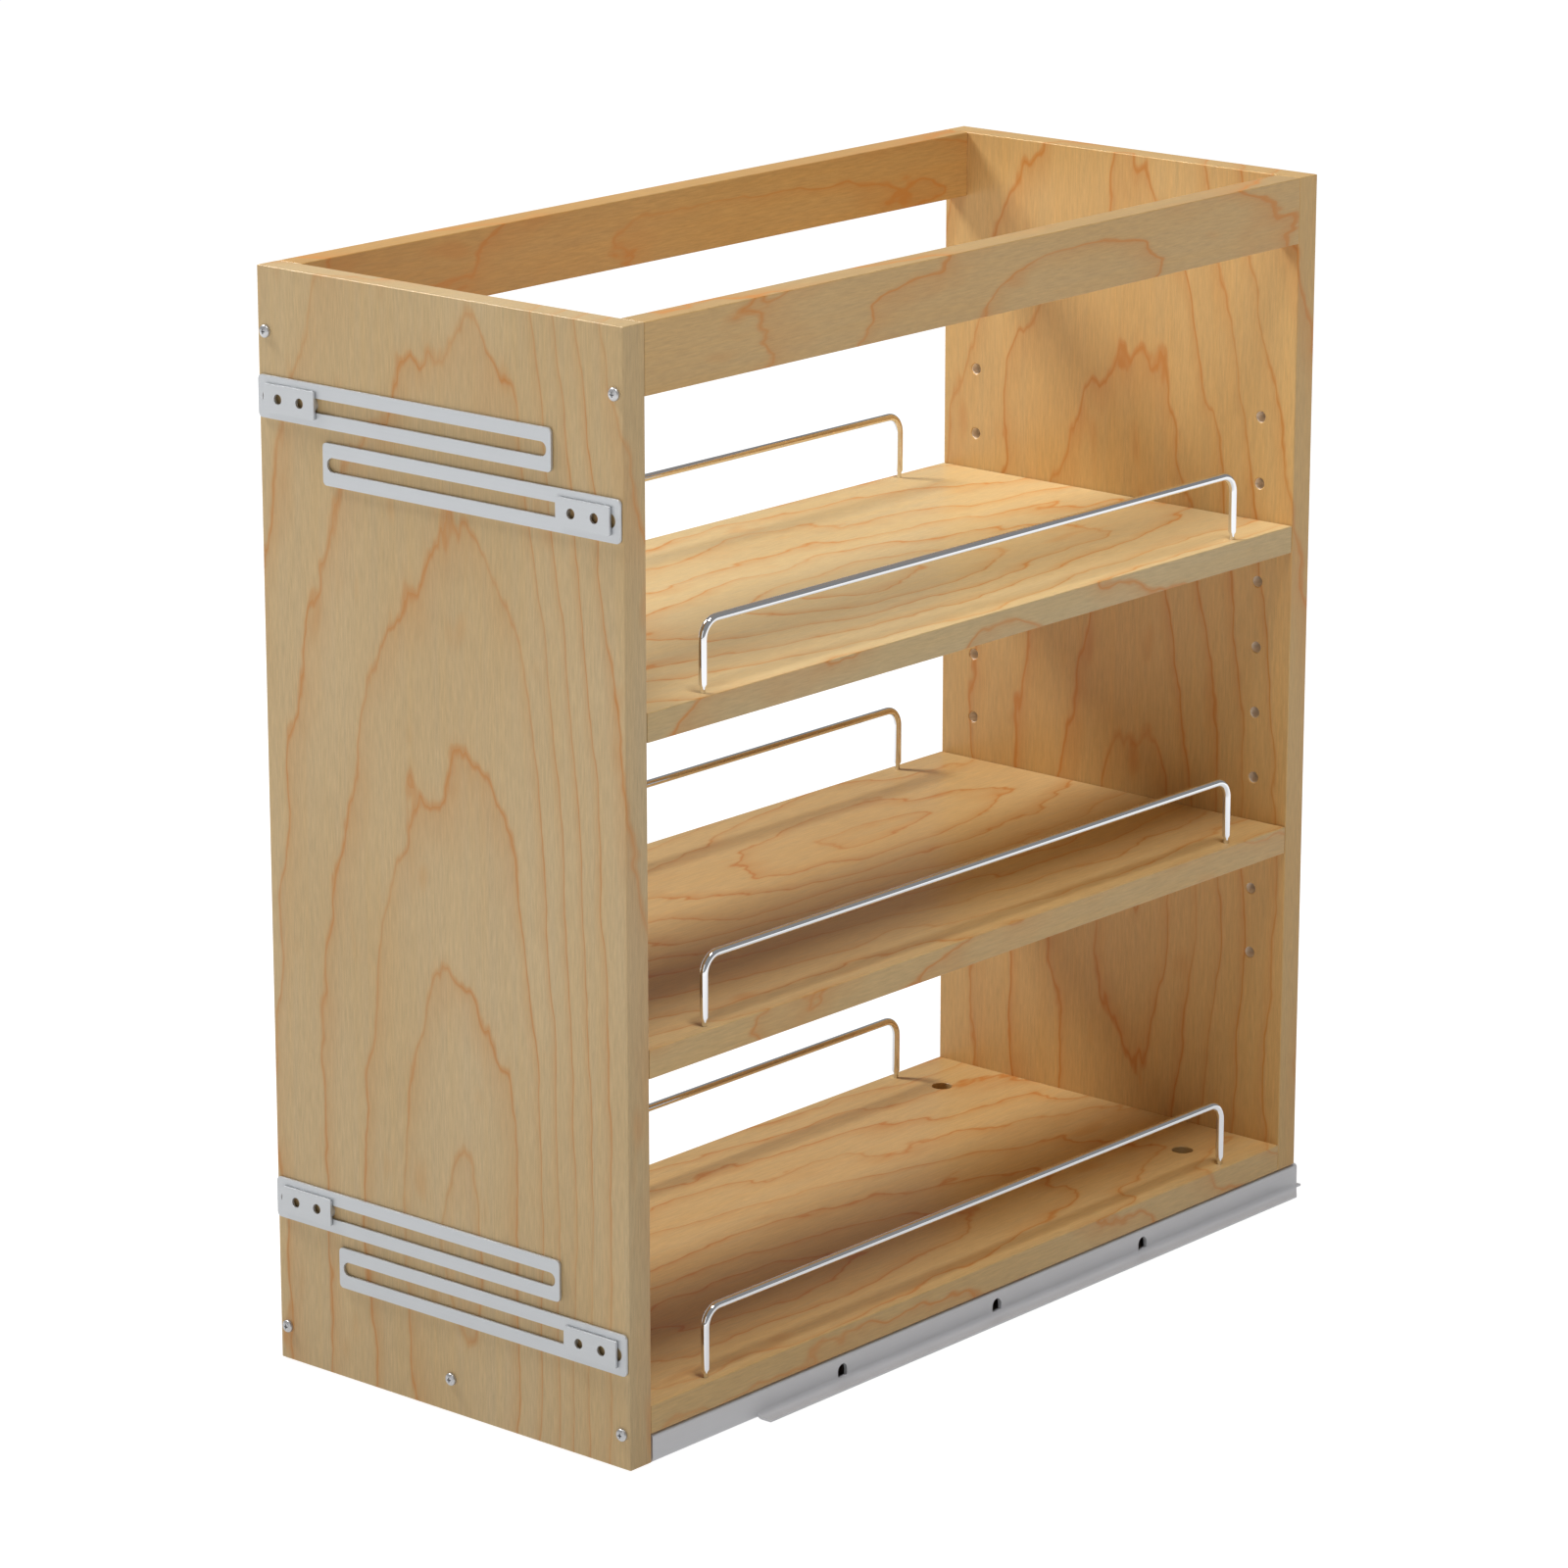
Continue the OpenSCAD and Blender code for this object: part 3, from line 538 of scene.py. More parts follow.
class SlideSettings(bpy.types.PropertyGroup):
    """Colours of the tray and the slides, and the radius of their sheet steel's cut edges."""
    edge: FloatProperty(
        name="Sheet Edge", description="Radius of the sheet steel's cut edges",
        default=0.15 * MM, min=0.05 * MM, max=0.4 * MM, unit="LENGTH", subtype="DISTANCE")
    tray: FloatVectorProperty(
        name="Tray Zinc", description="Colour of the tray's zinc plate",
        default=(0.69, 0.69, 0.71), size=3, min=0, max=1, subtype="COLOR")
    rail: FloatVectorProperty(
        name="Slide Zinc", description="Colour of the slides' zinc plate",
        default=(0.55, 0.56, 0.58), size=3, min=0, max=1, subtype="COLOR")


class StageSettings(bpy.types.PropertyGroup):
    """Light and camera."""
    key_power: FloatProperty(
        name="Key Power", description="Power of the key light", default=76.0, min=0, unit="POWER")
    top_power: FloatProperty(
        name="Top Power", description="Power of the light overhead", default=40.0, min=0, unit="POWER")
    front_power: FloatProperty(
        name="Front Power", description="Power of the light in front", default=8.0, min=0, unit="POWER")
    sky: FloatProperty(
        name="Sky", description="Strength of the even light all round", default=0.07, min=0)
    shine: FloatProperty(
        name="Shine", description="Brightness of the studio as glossy surfaces mirror it",
        default=0.26, min=0)
    floor_glow: FloatProperty(
        name="Floor Glow", description="Strength of the light that comes up through the floor",
        default=0.92, min=0)
    # floor_bounce is the dimmer glow close to the cart: painted shade of the floor round it, for the
    # light it throws.
    floor_bounce: FloatProperty(
        name="Floor Bounce",
        description="Strength of the light that the floor close by throws on the cart",
        default=0.62, min=0)
    lens: FloatProperty(
        name="Lens", description="Focal length of the camera", default=138.93, min=20, unit="CAMERA")


# ---- Boards ------------------------------------------------------------------------------------


def drill_bit(face, inward, radius, depth, mouth=0.0, sides=28):
    """A cutter for a hole that starts on a face and goes inward, with a chamfer at its mouth."""
    face, inward = Vector(face), Vector(inward)
    bit = rod("bit", face + inward * depth, -inward, radius, depth - mouth, sides)
    bpy.ops.object.mode_set(mode="EDIT")
    choose(bit, "FACE", lambda p: p.normal.dot(inward) < -0.9)
    for step, size in ((mouth, (radius + mouth) / radius), (PAST, 1.0)):
        if step:
            bpy.ops.mesh.extrude_region_move(TRANSFORM_OT_translate={"value": -inward * step})
            bpy.ops.transform.resize(value=(size, size, size), center_override=face)
    bpy.ops.object.mode_set(mode="OBJECT")
    return bit


def board(name, lo, hi, arris, bits=()):
    """A board with eased arrises and its holes."""
    piece = ease(block(name, lo, hi), arris, 3)
    if bits:
        cut(piece, *bits)
    return smooth(piece)


def peg_bits(face_y, inward, half_w, mouth):
    """Cutters for both columns of blind peg holes in a panel's inner face."""
    return [drill_bit((side * (half_w - PEG_HOLE_INSET), face_y, z), inward, PEG_HOLE_D / 2,
                      PEG_HOLE_DEPTH, mouth)
            for side in (-1, 1) for z in PEG_HOLE_HEIGHTS]


def screw_spots(half_w):
    """Where the five wood screws of a panel stand, as (x, z)."""
    rail_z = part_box("top_rail_left")[0].z + WOOD_SCREW_RISE
    shelf_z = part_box("bottom_shelf")[0].z + WOOD_SCREW_RISE
    edge = half_w - WOOD_SCREW_INSET
    return [(-edge, rail_z), (edge, rail_z), (-edge, shelf_z), (0.0, shelf_z), (edge, shelf_z)]


def bracket_spots():
    """Where the screws of the clamp plates stand, as (x, z)."""
    spots = []
    for corner in CORNERS:
        lo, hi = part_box("bracket_plate_" + corner)
        side = 1 if corner.endswith("right") else -1
        x = (lo.x + hi.x) / 2
        spots += [(x, (lo.z + hi.z) / 2), (x - side * COLLAR_STEP, (lo.z + hi.z) / 2)]
    return spots


def wood(name, settings, grain, through, heart, spread, dense, wander, seed, tone_and_painted_light, bold=1.0,
         drilled=None):
    """A board's maple, its colours multiplied by tone_and_painted_light: partly the board's own tone,
    partly painted light and shade, paler where the board is lit or shows a sheen and deeper where it is
    in shade. The rest is as in maple.
    """
    return finish("maple_" + name, maple, grain, through, heart, spread, dense, wander, seed,
                  scaled(settings.pale, tone_and_painted_light), scaled(settings.warm, tone_and_painted_light), colour4(settings.line),
                  bold, drilled, colour4(settings.bare))


class CART_OT_panels(bpy.types.Operator):
    """Make the front and rear panels with their peg holes"""
    bl_idname = "pantry_cart.panels"
    bl_label = "Make Panels"
    bl_options = {"REGISTER", "UNDO"}

    def execute(self, context):
        s = context.scene.pantry_boards
        lo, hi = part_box("front_panel")
        bits = peg_bits(hi.y, (0, -1, 0), hi.x, s.mouth)
        through = hi.y - lo.y + PAST
        bits += [drill_bit((x, lo.y, z), (0, 1, 0), WOOD_SCREW_D / 2 + SNUG, through)
                 for x, z in screw_spots(hi.x)]
        bits += [drill_bit((x, lo.y, z), (0, 1, 0), BRACKET_SCREW_D / 2 + LOOSE, through)
                 for x, z in bracket_spots()]
        front = board("front_board", lo, hi, s.arris, bits)
        columns = (hi.x - PEG_HOLE_INSET, PEG_HOLE_D / 2 + s.mouth + 0.1 * MM,
                   PEG_HOLE_HEIGHTS[0] - COLUMN_MARGIN, PEG_HOLE_HEIGHTS[-1] + COLUMN_MARGIN)
        # The front's paler, bluer tint is partly painted sheen, standing in for the white floor
        # mirrored in its lacquer.
        maple_front = wood("front", s, Z, Y, heart=(0.010, 0.095), spread=(0.031, 3.6),
                           dense=(0.045, 0.125, 3.0), wander=(0.9, 0.75, 0.05), seed=3.1,
                           tone_and_painted_light=(0.98, 1.02, 1.10), bold=0.72,
                           drilled=columns + (lo.y + SKIN, hi.y - s.mouth))
        hand_over(front, maple_front, "cart", "front_panel")
        lo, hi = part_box("rear_panel")
        bits = peg_bits(lo.y, (0, 1, 0), hi.x, s.mouth)
        bits += [drill_bit((x, lo.y, z), (0, 1, 0), WOOD_SCREW_D / 2 + SNUG, through)
                 for x, z in screw_spots(hi.x)]
        rear = board("rear_board", lo, hi, s.arris, bits)
        # The rear panel's deeper orange tint is partly painted shade for the warm light bounced inside
        # the cart onto its inner face.
        maple_rear = wood("rear", s, Z, Y, heart=(0.02, 0.16), spread=(0.030, 3.4),
                          dense=(0.02, 0.12, 2.0), wander=(1.3, 0.9, 0.05), seed=8.4,
                          tone_and_painted_light=(1.04, 0.95, 0.78), drilled=columns + (lo.y + s.mouth, hi.y - SKIN))
        hand_over(rear, maple_rear, "cart", "rear_panel")
        return {"FINISHED"}


class CART_OT_top_rails(bpy.types.Operator):
    """Make the two boards that join the panels at the top"""
    bl_idname = "pantry_cart.top_rails"
    bl_label = "Make Top Rails"
    bl_options = {"REGISTER", "UNDO"}

    def execute(self, context):
        s = context.scene.pantry_boards
        # The left top rail's deep orange tint is partly painted shade for the warm bounced light on its
        # inner face; the right one is darkened partly as painted shade for its side facing away from
        # the key light.
        for side, seed, tone_and_painted_light in (("left", 12.3, (0.93, 0.77, 0.54)),
                                 ("right", 15.9, (0.90, 0.84, 0.74))):
            lo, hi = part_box("top_rail_" + side)
            rail = board("top_board_" + side, lo, hi, s.arris)
            maple_rail = wood("top_" + side, s, Y, X, heart=(0.560, 0.05), spread=(0.020, 4.2),
                              dense=(0.5, 0.6, 0.0), wander=(2.6, 1.2, 0.06), seed=seed, tone_and_painted_light=tone_and_painted_light,
                              bold=1.1)
            hand_over(rail, maple_rail, "cart", "top_rail_" + side)
        return {"FINISHED"}


class CART_OT_shelves(bpy.types.Operator):
    """Make the three shelves"""
    bl_idname = "pantry_cart.shelves"
    bl_label = "Make Shelves"
    bl_options = {"REGISTER", "UNDO"}

    def execute(self, context):
        s = context.scene.pantry_boards
        # golden deepens the middle and bottom shelves partly as painted shade for their shaded zones;
        # light makes the upper shelf paler partly as painted light from above. Both are partly the
        # boards' own tones.
        golden, light = (1.06, 1.03, 0.94), (1.00, 1.04, 1.05)
        hearts = ((0.055, -0.11), (-0.045, 0.13), (0.03, 0.02))
        for level, seed, tone_and_painted_light, heart in zip(LEVELS, (21.7, 27.2, 33.4), (golden, golden, light),
                                            hearts):
            node = level + "_shelf"
            lo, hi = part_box(node)
            bits = []
            for side in SIDES:
                wire_lo, wire_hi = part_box("guard_rail_%s_%s" % (level, side))
                x = (wire_lo.x + wire_hi.x) / 2
                for y in (wire_lo.y + WIRE_D / 2, wire_hi.y - WIRE_D / 2):
                    bits.append(drill_bit((x, y, hi.z), (0, 0, -1), SPIGOT_HOLE_D / 2, SPIGOT_DEPTH,
                                          0.15 * MM, 20))
            if level == "bottom":
                rear_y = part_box("rear_panel")[1].y
                for x in (hi.x - ACCESS_INSET, ACCESS_INSET - hi.x):
                    bits.append(drill_bit((x, rear_y - ACCESS_REAR, hi.z), (0, 0, -1), ACCESS_D / 2,
                                          hi.z - lo.z + PAST, 0.3 * MM, 40))
            shelf = board(level + "_board", lo, hi, s.arris, bits)
            maple_shelf = wood(level, s, Y, Z, heart=heart, spread=(0.021, 3.6),
                               dense=(-0.12, -0.02, 1.0), wander=(2.4, 1.4, 0.06), seed=seed, tone_and_painted_light=tone_and_painted_light)
            hand_over(shelf, maple_shelf, "cart", node)
        return {"FINISHED"}


# ---- Guard rails -------------------------------------------------------------------------------


def bent_wire(name, x, y0, y1, shelf_z, top_z, settings):
    """A guard rail: up one leg, round a bend, along, round a bend and down the other leg."""
    wire_r, spigot_r, bend_r = WIRE_D / 2, SPIGOT_D / 2, WIRE_BEND_R
    tip_r = spigot_r * 0.8
    foot_z = shelf_z - SPIGOT_DEPTH + 0.5 * MM
    bpy.ops.object.select_all(action="DESELECT")
    bpy.ops.mesh.primitive_circle_add(vertices=settings.sides, radius=tip_r, fill_type="NGON",
                                      location=(x, y0, foot_z))
    piece = settle()
    piece.name = piece.data.name = name
    bpy.ops.object.mode_set(mode="EDIT")
    bpy.ops.mesh.select_mode(type="FACE")
    bpy.ops.mesh.select_all(action="SELECT")

    def grow(step, size=1.0, y=y0, z=foot_z):
        bpy.ops.mesh.extrude_region_move(TRANSFORM_OT_translate={"value": Vector(step)})
        if size != 1.0:
            bpy.ops.transform.resize(value=(size, size, 1), center_override=(x, y, z))

    def bend(y):
        bpy.ops.mesh.spin(steps=settings.bend_steps, angle=math.pi / 2, center=(x, y, top_z - bend_r),
                          axis=(1, 0, 0))

    heights = [(foot_z + 0.3 * MM, spigot_r), (shelf_z + TAPER_Z, spigot_r),
               (shelf_z + TAPER_Z + TAPER_H, wire_r), (top_z - bend_r, wire_r)]
    z, r = foot_z, tip_r
    for next_z, next_r in heights:
        grow((0, 0, next_z - z), next_r / r)
        z, r = next_z, next_r
    bend(y0 + bend_r)
    grow((0, y1 - y0 - 2 * bend_r, 0))
    bend(y1 - bend_r)
    for next_z, next_r in reversed([(foot_z, tip_r)] + heights[:-1]):
        grow((0, 0, next_z - z), next_r / r, y=y1)
        z, r = next_z, next_r
    bpy.ops.mesh.select_all(action="SELECT")
    bpy.ops.mesh.remove_doubles(threshold=1e-6)
    bpy.ops.mesh.normals_make_consistent(inside=False)
    bpy.ops.object.mode_set(mode="OBJECT")
    return smooth(piece, 30)


class CART_OT_guard_rails(bpy.types.Operator):
    """Bend one guard rail and set six of them on the shelves"""
    bl_idname = "pantry_cart.guard_rails"
    bl_label = "Make Guard Rails"
    bl_options = {"REGISTER", "UNDO"}

    def execute(self, context):
        s = context.scene.pantry_wires
        plate = finish("chrome_wire", chrome, colour4(s.chrome))
        first_lo, first_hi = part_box("guard_rail_bottom_left")
        x = (first_lo.x + first_hi.x) / 2
        model = bent_wire("wire_model", x, first_lo.y + WIRE_D / 2, first_hi.y - WIRE_D / 2,
                          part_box("bottom_shelf")[1].z, first_hi.z - WIRE_D / 2, s)
        for level in LEVELS:
            for side in SIDES:
                node = "guard_rail_%s_%s" % (level, side)
                wire = another(model, "wire_%s_%s" % (level, side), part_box(node)[0] - first_lo)
                hand_over(wire, plate, "cart", node)
        bpy.data.objects.remove(model)
        return {"FINISHED"}


# ---- Screws ------------------------------------------------------------------------------------


RIM_H, RIM_R = 0.42, 0.96       # a screw head's upright rim, as shares of its height and radius
CROWN_DRAW_IN = 0.62            # how much of its radius the crown draws in
CROSS_SLIM, CROSS_TAPER = 0.27, 0.45   # a recess's slimness, and its width at the bottom
CROSS_DEEP = 1.25 * MM


def pan_screw(name, shank_r, length, head_r, head_h, recess):
    """A pan-head screw with a cross recess. Its head stands on y = 0 towards -Y."""
    rim_h = head_h * RIM_H
    head = rod(name, (0, 0, 0), (0, -1, 0), head_r * RIM_R, rim_h, 36)
    bpy.ops.object.mode_set(mode="EDIT")
    choose(head, "FACE", lambda p: p.normal.y < -0.9)
    y, r = -rim_h, head_r * RIM_R
    last = math.pi * 5 / 12
    for k in range(1, 6):
        angle = k * math.pi / 12
        next_y = -rim_h - (head_h - rim_h) * math.sin(angle) / math.sin(last)
        next_r = head_r * (RIM_R - CROWN_DRAW_IN * (1 - math.cos(angle)) / (1 - math.cos(last)))
        bpy.ops.mesh.extrude_region_move(TRANSFORM_OT_translate={"value": (0, next_y - y, 0)})
        bpy.ops.transform.resize(value=(next_r / r, 1, next_r / r), center_override=(0, next_y, 0))
        y, r = next_y, next_r
    bpy.ops.object.mode_set(mode="OBJECT")
    wings = []
    bottom = -head_h + CROSS_DEEP
    for w, h in ((recess, recess * CROSS_SLIM), (recess * CROSS_SLIM, recess)):
        wing = block("wing", (-w / 2, -head_h - PAST, -h / 2), (w / 2, bottom, h / 2))
        bpy.ops.object.mode_set(mode="EDIT")
        choose(wing, "FACE", lambda p: p.normal.y > 0.9)
        bpy.ops.transform.resize(value=(CROSS_TAPER, 1, CROSS_TAPER), center_override=(0, bottom, 0))
        bpy.ops.object.mode_set(mode="OBJECT")
        wings.append(wing)
    for wing in wings:
        cut(head, wing)
    shank = rod("shank", (0, -rim_h * 0.5, 0), (0, 1, 0), shank_r, length + rim_h * 0.5, 20)
    ease(shank, 0.3 * MM, 1)
    return smooth(join(name, head, shank), 35)


def bracket_metal(settings):
    """Satin zinc, brushed across the cart."""
    return finish("bracket_zinc", steel, colour4(settings.zinc), 0.42, X, 0.55)


def screw_metal(settings):
    """Bright zinc."""
    return finish("screw_zinc", steel, colour4(settings.screw_zinc), 0.33, None, 0.8)


class CART_OT_wood_screws(bpy.types.Operator):
    """Make one wood screw and drive it wherever the panels are fixed"""
    bl_idname = "pantry_cart.wood_screws"
    bl_label = "Make Wood Screws"
    bl_options = {"REGISTER", "UNDO"}

    def execute(self, context):
        s = context.scene.pantry_brackets
        zinc = screw_metal(s)
        lo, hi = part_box("front_panel")
        model = pan_screw("screw_model", WOOD_SCREW_D / 2, WOOD_SCREW_L, WOOD_HEAD_D / 2, WOOD_HEAD_H,
                          WOOD_RECESS)
        for name, y, turn in (("front", lo.y, 0.0), ("rear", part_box("rear_panel")[1].y, math.pi)):
            driven = [another(model, "driven", (x, y, z), turn) for x, z in screw_spots(hi.x)]
            hand_over(join(name + "_screws", *driven), zinc, "cart",
                      name + "_panel_screws")
        bpy.data.objects.remove(model)
        return {"FINISHED"}


# ---- Door brackets -----------------------------------------------------------------------------


class CART_OT_bracket_arms(bpy.types.Operator):
    """Make the four slotted arms that carry the cabinet door"""
    bl_idname = "pantry_cart.bracket_arms"
    bl_label = "Make Bracket Arms"
    bl_options = {"REGISTER", "UNDO"}

    def execute(self, context):
        s = context.scene.pantry_brackets
        zinc = bracket_metal(s)
        for corner in CORNERS:
            node = "bracket_arm_" + corner
            lo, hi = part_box(node)
            middle = (lo.z + hi.z) / 2
            arm = round_corners(block("arm_" + corner, lo, hi), Y, s.corner, 6)
            slot = block("slot", (lo.x + SLOT_MARGIN, lo.y - PAST, middle - SLOT_W / 2),
                         (hi.x - SLOT_MARGIN, hi.y + PAST, middle + SLOT_W / 2))
            round_corners(slot, Y, SLOT_W / 2 * 0.998, 10)
            cut(arm, slot)
            ease(arm, s.edge, 2)
            hand_over(smooth(arm), zinc, "arm_" + corner, node)
        return {"FINISHED"}


class CART_OT_clamp_plates(bpy.types.Operator):
    """Make the clamp plates with their open holes and tapped collars"""
    bl_idname = "pantry_cart.clamp_plates"
    bl_label = "Make Clamp Plates"
    bl_options = {"REGISTER", "UNDO"}

    def execute(self, context):
        s = context.scene.pantry_brackets
        zinc = bracket_metal(s)
        for corner in CORNERS:
            node = "bracket_plate_" + corner
            lo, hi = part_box(node)
            side = 1 if corner.endswith("right") else -1
            x, z = (lo.x + hi.x) / 2, (lo.z + hi.z) / 2
            back = lo.y + PLATE_T
            plate = round_corners(block("clamp_" + corner, lo, (hi.x, back, hi.z)), Y, 1 * MM, 4)
            cut(plate, *[drill_bit((x + side_x * PLATE_HOLE_PITCH / 2, lo.y, z), (0, 1, 0),
                                   PLATE_HOLE_D / 2, PLATE_T + PAST) for side_x in (-1, 1)])
            ease(plate, s.edge, 2)
            smooth(plate)
            collars = []
            for offset in (0.0, COLLAR_STEP):
                spot = x - side * offset
                collar = rod("collar", (spot, back - 0.02 * MM, z), (0, 1, 0), COLLAR_D / 2,
                             hi.y - back + 0.02 * MM, 32)
                cut(collar, drill_bit((spot, hi.y, z), (0, -1, 0), BRACKET_SCREW_D / 2 + SNUG,
                                      (hi.y - back) * 0.9, 0.0, 20))
                collars.append(smooth(collar))
            hand_over(join("clamp_" + corner, plate, *collars), zinc, "cart", node)
        return {"FINISHED"}


class CART_OT_bracket_screws(bpy.types.Operator):
    """Make the machine screws and washers that hold the clamp plates from inside"""
    bl_idname = "pantry_cart.bracket_screws"
    bl_label = "Make Bracket Screws"
    bl_options = {"REGISTER", "UNDO"}

    def execute(self, context):
        s = context.scene.pantry_brackets
        zinc = screw_metal(s)
        plain = bracket_metal(s)
        lo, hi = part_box("bracket_washers")
        tip_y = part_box("bracket_screws")[0].y
        model = pan_screw("machine_model", BRACKET_SCREW_D / 2, hi.y - tip_y, BRACKET_HEAD_D / 2,
                          BRACKET_HEAD_H, BRACKET_RECESS)
        driven = [another(model, "driven", (x, hi.y, z), math.pi) for x, z in bracket_spots()]
        hand_over(join("machine_screws", *driven), zinc, "cart", "bracket_screws")
        bpy.data.objects.remove(model)
        ring = rod("washer_model", (0, 0, 0), (0, 1, 0), WASHER_D / 2, hi.y - lo.y, 40)
        cut(ring, drill_bit((0, 0, 0), (0, 1, 0), BRACKET_SCREW_D / 2 + LOOSE, hi.y - lo.y + PAST))
        ease(ring, 0.15 * MM, 1)
        smooth(ring)
        rings = [another(ring, "ring", (x, lo.y, z)) for x, z in bracket_spots()]
        hand_over(join("washers", *rings), plain, "cart", "bracket_washers")
        bpy.data.objects.remove(ring)
        return {"FINISHED"}


# ---- Tray, slides and pegs ---------------------------------------------------------------------


class CART_OT_tray(bpy.types.Operator):
    """Finish the sheet-steel tray"""
    bl_idname = "pantry_cart.tray"
    bl_label = "Make Tray"
    bl_options = {"REGISTER", "UNDO"}

    def execute(self, context):
        s = context.scene.pantry_slides
        zinc = finish("tray_zinc", steel, colour4(s.tray), 0.38, Y, 0.15)
        for node in ("tray_floor", "tray_side_left", "tray_side_right"):
            hand_over(smooth(remade(node, s.edge)), zinc, "base", node)
        return {"FINISHED"}


class CART_OT_slides(bpy.types.Operator):
    """Finish the slides' rails, cages, balls, rivets, screws and stops"""
    bl_idname = "pantry_cart.slides"
    bl_label = "Make Slides"
    bl_options = {"REGISTER", "UNDO"}

    def execute(self, context):
        s = context.scene.pantry_slides
        zinc = finish("slide_zinc", steel, colour4(s.rail), 0.33, Y)
        dull = finish("cage_zinc", steel, scaled(s.rail, 0.7), 0.5)
        bright = finish("ball_steel", chrome, (0.72, 0.72, 0.73, 1))
        screw_zinc = screw_metal(context.scene.pantry_brackets)
        black = finish("stop_rubber", rubber, (0.018, 0.018, 0.018, 1))
        for side in SIDES:
            for part, body in (("outer_rail_", "base"), ("middle_rail_", "middle_" + side),
                               ("inner_rail_", "cart")):
                hand_over(smooth(remade(part + side, s.edge)), zinc, body, part + side)
            for run in ("outer", "inner"):
                body = "%s_cage_%s" % (run, side)
                hand_over(smooth(remade(body, None)), dull, body, body)
                balls = "%s_balls_%s" % (run, side)
                hand_over(smooth(remade(balls, None), 60), bright, body, balls)
        hand_over(smooth(remade("rail_rivets", None)), zinc, "base", "rail_rivets")
        hand_over(smooth(remade("rail_screws", None)), screw_zinc, "cart", "rail_screws")
        hand_over(smooth(remade("rail_bumpers", 0.8 * MM, 3)), black, "base",
                  "rail_bumpers")
        return {"FINISHED"}


class CART_OT_shelf_pegs(bpy.types.Operator):
    """Finish the pegs that carry the adjustable shelves"""
    bl_idname = "pantry_cart.shelf_pegs"
    bl_label = "Make Shelf Pegs"
    bl_options = {"REGISTER", "UNDO"}

    def execute(self, context):
        nickel = finish("peg_nickel", steel, (0.62, 0.60, 0.56, 1), 0.24)
        for level in ("middle", "upper"):
            node = level + "_shelf_pegs"
            hand_over(smooth(remade(node, 0.25 * MM, 2)), nickel, "cart", node)
        return {"FINISHED"}


# ---- Stage -------------------------------------------------------------------------------------

WHITE = (1, 1, 1, 1)
CART_MIDDLE = (0.0, 0.0, 0.3)
CAMERA_PLACE = (2.0566, -2.4120, 1.1607)
CAMERA_AHEAD = (-0.62852, 0.73026, -0.26773)
FLOOR_SIZE = 16
FLOOR_DROP = 0.5 * MM        # keeps the floor clear of the tray's underside
GLOW_REACH = (0.5, 2.5)      # where the floor's own glow starts and stops climbing to white
BOUNCE_REACH = (0.3, 1.4)    # the same for the light that it throws, which is dimmer close to the cart as painted shade of the floor round it


def aim(thing, target):
    """Turns a light or the camera towards a point."""
    thing.rotation_euler = (Vector(target) - thing.location).to_track_quat("-Z", "Y").to_euler()


def soft_light(name, place, size, power):
    """A flat soft light that faces the cart's middle."""
    bpy.ops.object.light_add(type="AREA", location=place)
    lamp = bpy.context.object
    lamp.name = lamp.data.name = name
    lamp.data.shape = "RECTANGLE"
    lamp.data.size, lamp.data.size_y = size
    lamp.data.energy = power
    aim(lamp, CART_MIDDLE)


def shade_by_ray(tree, test, passing, failing):
    """Shows one background to the rays that pass a test, and another to the rest."""
    mixer = tree.nodes.new("ShaderNodeMixShader")
    path = tree.nodes.new("ShaderNodeLightPath")
    tree.links.new(path.outputs[test], mixer.inputs[0])
    tree.links.new(failing, mixer.inputs[1])
    tree.links.new(passing, mixer.inputs[2])
    return mixer.outputs[0]


def white_glow(tree, strength):
    """A white background of one strength."""
    glow = tree.nodes.new("ShaderNodeBackground")
    glow.inputs["Color"].default_value = WHITE
    glow.inputs["Strength"].default_value = strength
    return glow.outputs[0]


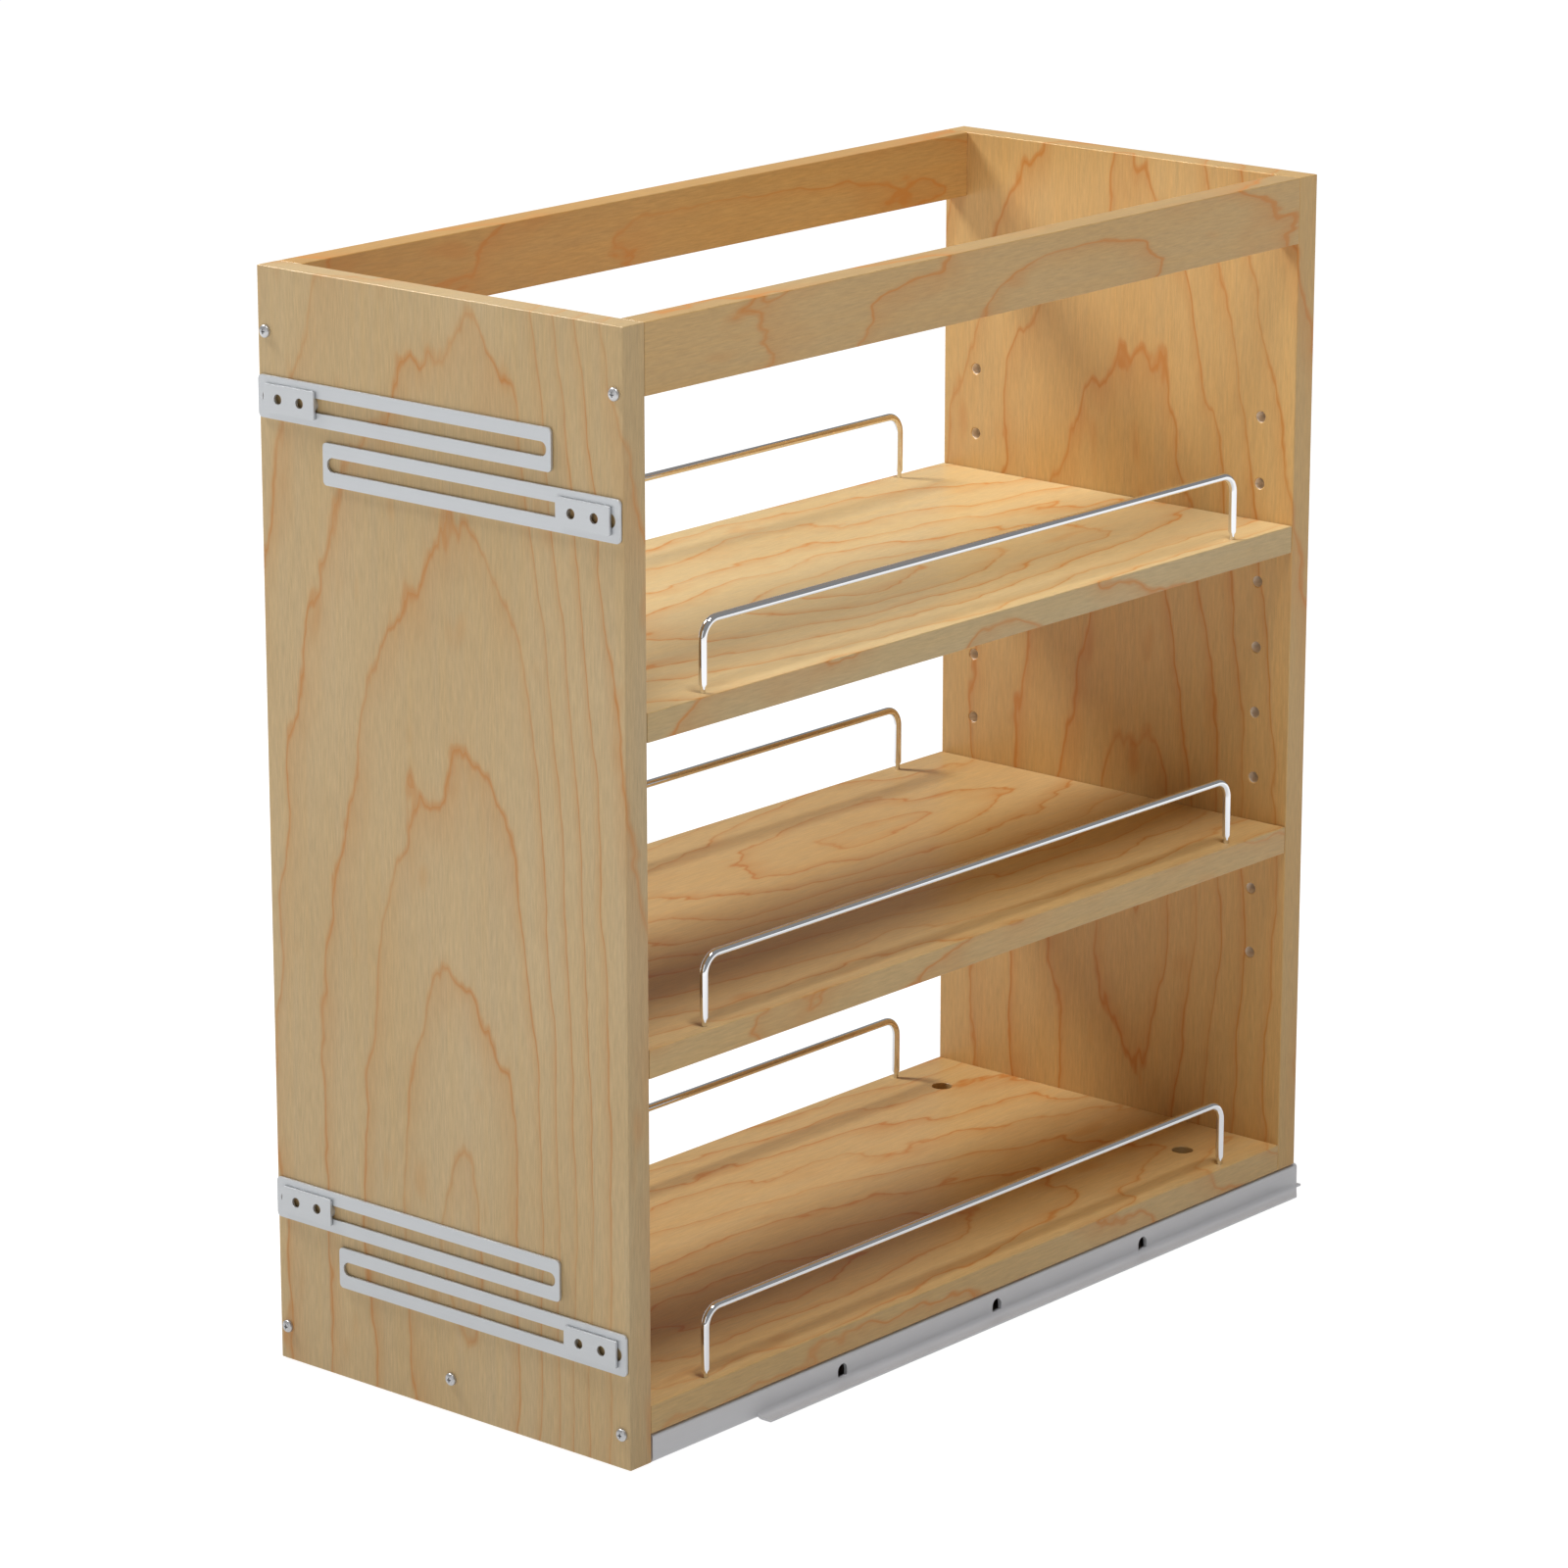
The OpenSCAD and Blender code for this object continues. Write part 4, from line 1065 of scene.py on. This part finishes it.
class CART_OT_stage(bpy.types.Operator):
    """Set the floor, the lights and the camera"""
    bl_idname = "pantry_cart.stage"
    bl_label = "Set Stage"
    bl_options = {"REGISTER", "UNDO"}

    def execute(self, context):
        s = context.scene.pantry_stage
        bpy.ops.object.select_all(action="DESELECT")
        bpy.ops.mesh.primitive_plane_add(size=FLOOR_SIZE, location=(0, 0, -FLOOR_DROP))
        floor = settle()
        floor.name = floor.data.name = "floor"
        f = Finish("floor_white")
        x, y, _ = f.axes(f.place())
        reach = f.maths("SQRT", x * x + y * y)
        seen = f.mix(f.band(reach, *GLOW_REACH), colour4([s.floor_glow] * 3), WHITE)
        # thrown dims the glow that lights the cart where the floor is close to it: painted shade of the
        # floor round the cart, which darkens the cart's lowest parts.
        thrown = f.mix(f.band(reach, *BOUNCE_REACH), colour4([s.floor_bounce] * 3), WHITE)
        looked_at = f.node("ShaderNodeLightPath", "Is Camera Ray")
        floor.data.materials.append(f.close(
            Base_Color=(0.25, 0.25, 0.25, 1), Roughness=0.9, Specular_IOR_Level=0.0,
            Emission_Color=f.mix(looked_at, thrown, seen), Emission_Strength=1.0))

        soft_light("key_light", (-1.86, -0.62, 2.55), (0.8, 0.8), s.key_power)
        soft_light("top_light", (0.70, -0.2, 2.9), (0.5, 0.8), s.top_power)
        soft_light("front_light", (0.4, -3.0, 1.2), (2.0, 1.6), s.front_power)

        world = bpy.data.worlds.new("studio")
        context.scene.world = world
        world.use_nodes = True
        tree = world.node_tree
        tree.nodes.clear()
        out = tree.nodes.new("ShaderNodeOutputWorld")
        unseen = shade_by_ray(tree, "Is Glossy Ray", white_glow(tree, s.shine), white_glow(tree, s.sky))
        around = shade_by_ray(tree, "Is Camera Ray", white_glow(tree, 1.0), unseen)
        tree.links.new(around, out.inputs["Surface"])

        bpy.ops.object.camera_add(location=CAMERA_PLACE)
        camera = context.object
        camera.name = camera.data.name = "camera"
        aim(camera, camera.location + Vector(CAMERA_AHEAD))
        camera.data.lens = s.lens
        camera.data.sensor_width = 36
        context.scene.camera = camera
        context.scene.view_settings.view_transform = "Standard"
        return {"FINISHED"}


# ---- Panel and registration --------------------------------------------------------------------

STEPS = (CART_OT_panels, CART_OT_top_rails, CART_OT_shelves, CART_OT_guard_rails,
         CART_OT_wood_screws, CART_OT_bracket_arms, CART_OT_clamp_plates, CART_OT_bracket_screws,
         CART_OT_tray, CART_OT_slides, CART_OT_shelf_pegs, CART_OT_stage)
SETTINGS = (("pantry_boards", BoardSettings), ("pantry_wires", WireSettings),
            ("pantry_brackets", BracketSettings), ("pantry_slides", SlideSettings),
            ("pantry_stage", StageSettings))


class CART_PT_sidebar(bpy.types.Panel):
    """The cart's settings and steps"""
    bl_label = "Pantry Cart"
    bl_idname = "CART_PT_sidebar"
    bl_space_type = "VIEW_3D"
    bl_region_type = "UI"
    bl_category = "Pantry Cart"

    def draw(self, context):
        for attribute, group in SETTINGS:
            box = self.layout.box()
            for name in group.__annotations__:
                box.prop(getattr(context.scene, attribute), name)
        for step in STEPS:
            self.layout.operator(step.bl_idname)


def register():
    """Adds the settings, the steps and the panel."""
    for attribute, group in SETTINGS:
        bpy.utils.register_class(group)
        setattr(bpy.types.Scene, attribute, PointerProperty(type=group))
    for step in STEPS + (CART_PT_sidebar,):
        bpy.utils.register_class(step)


def unregister():
    """Takes them away again."""
    for step in reversed(STEPS + (CART_PT_sidebar,)):
        bpy.utils.unregister_class(step)
    for attribute, group in reversed(SETTINGS):
        delattr(bpy.types.Scene, attribute)
        bpy.utils.unregister_class(group)


def main():
    """Builds the cart step by step."""
    register()
    for step in STEPS:
        group, name = step.bl_idname.split(".")
        getattr(getattr(bpy.ops, group), name)()


if __name__ == "__main__":
    main()
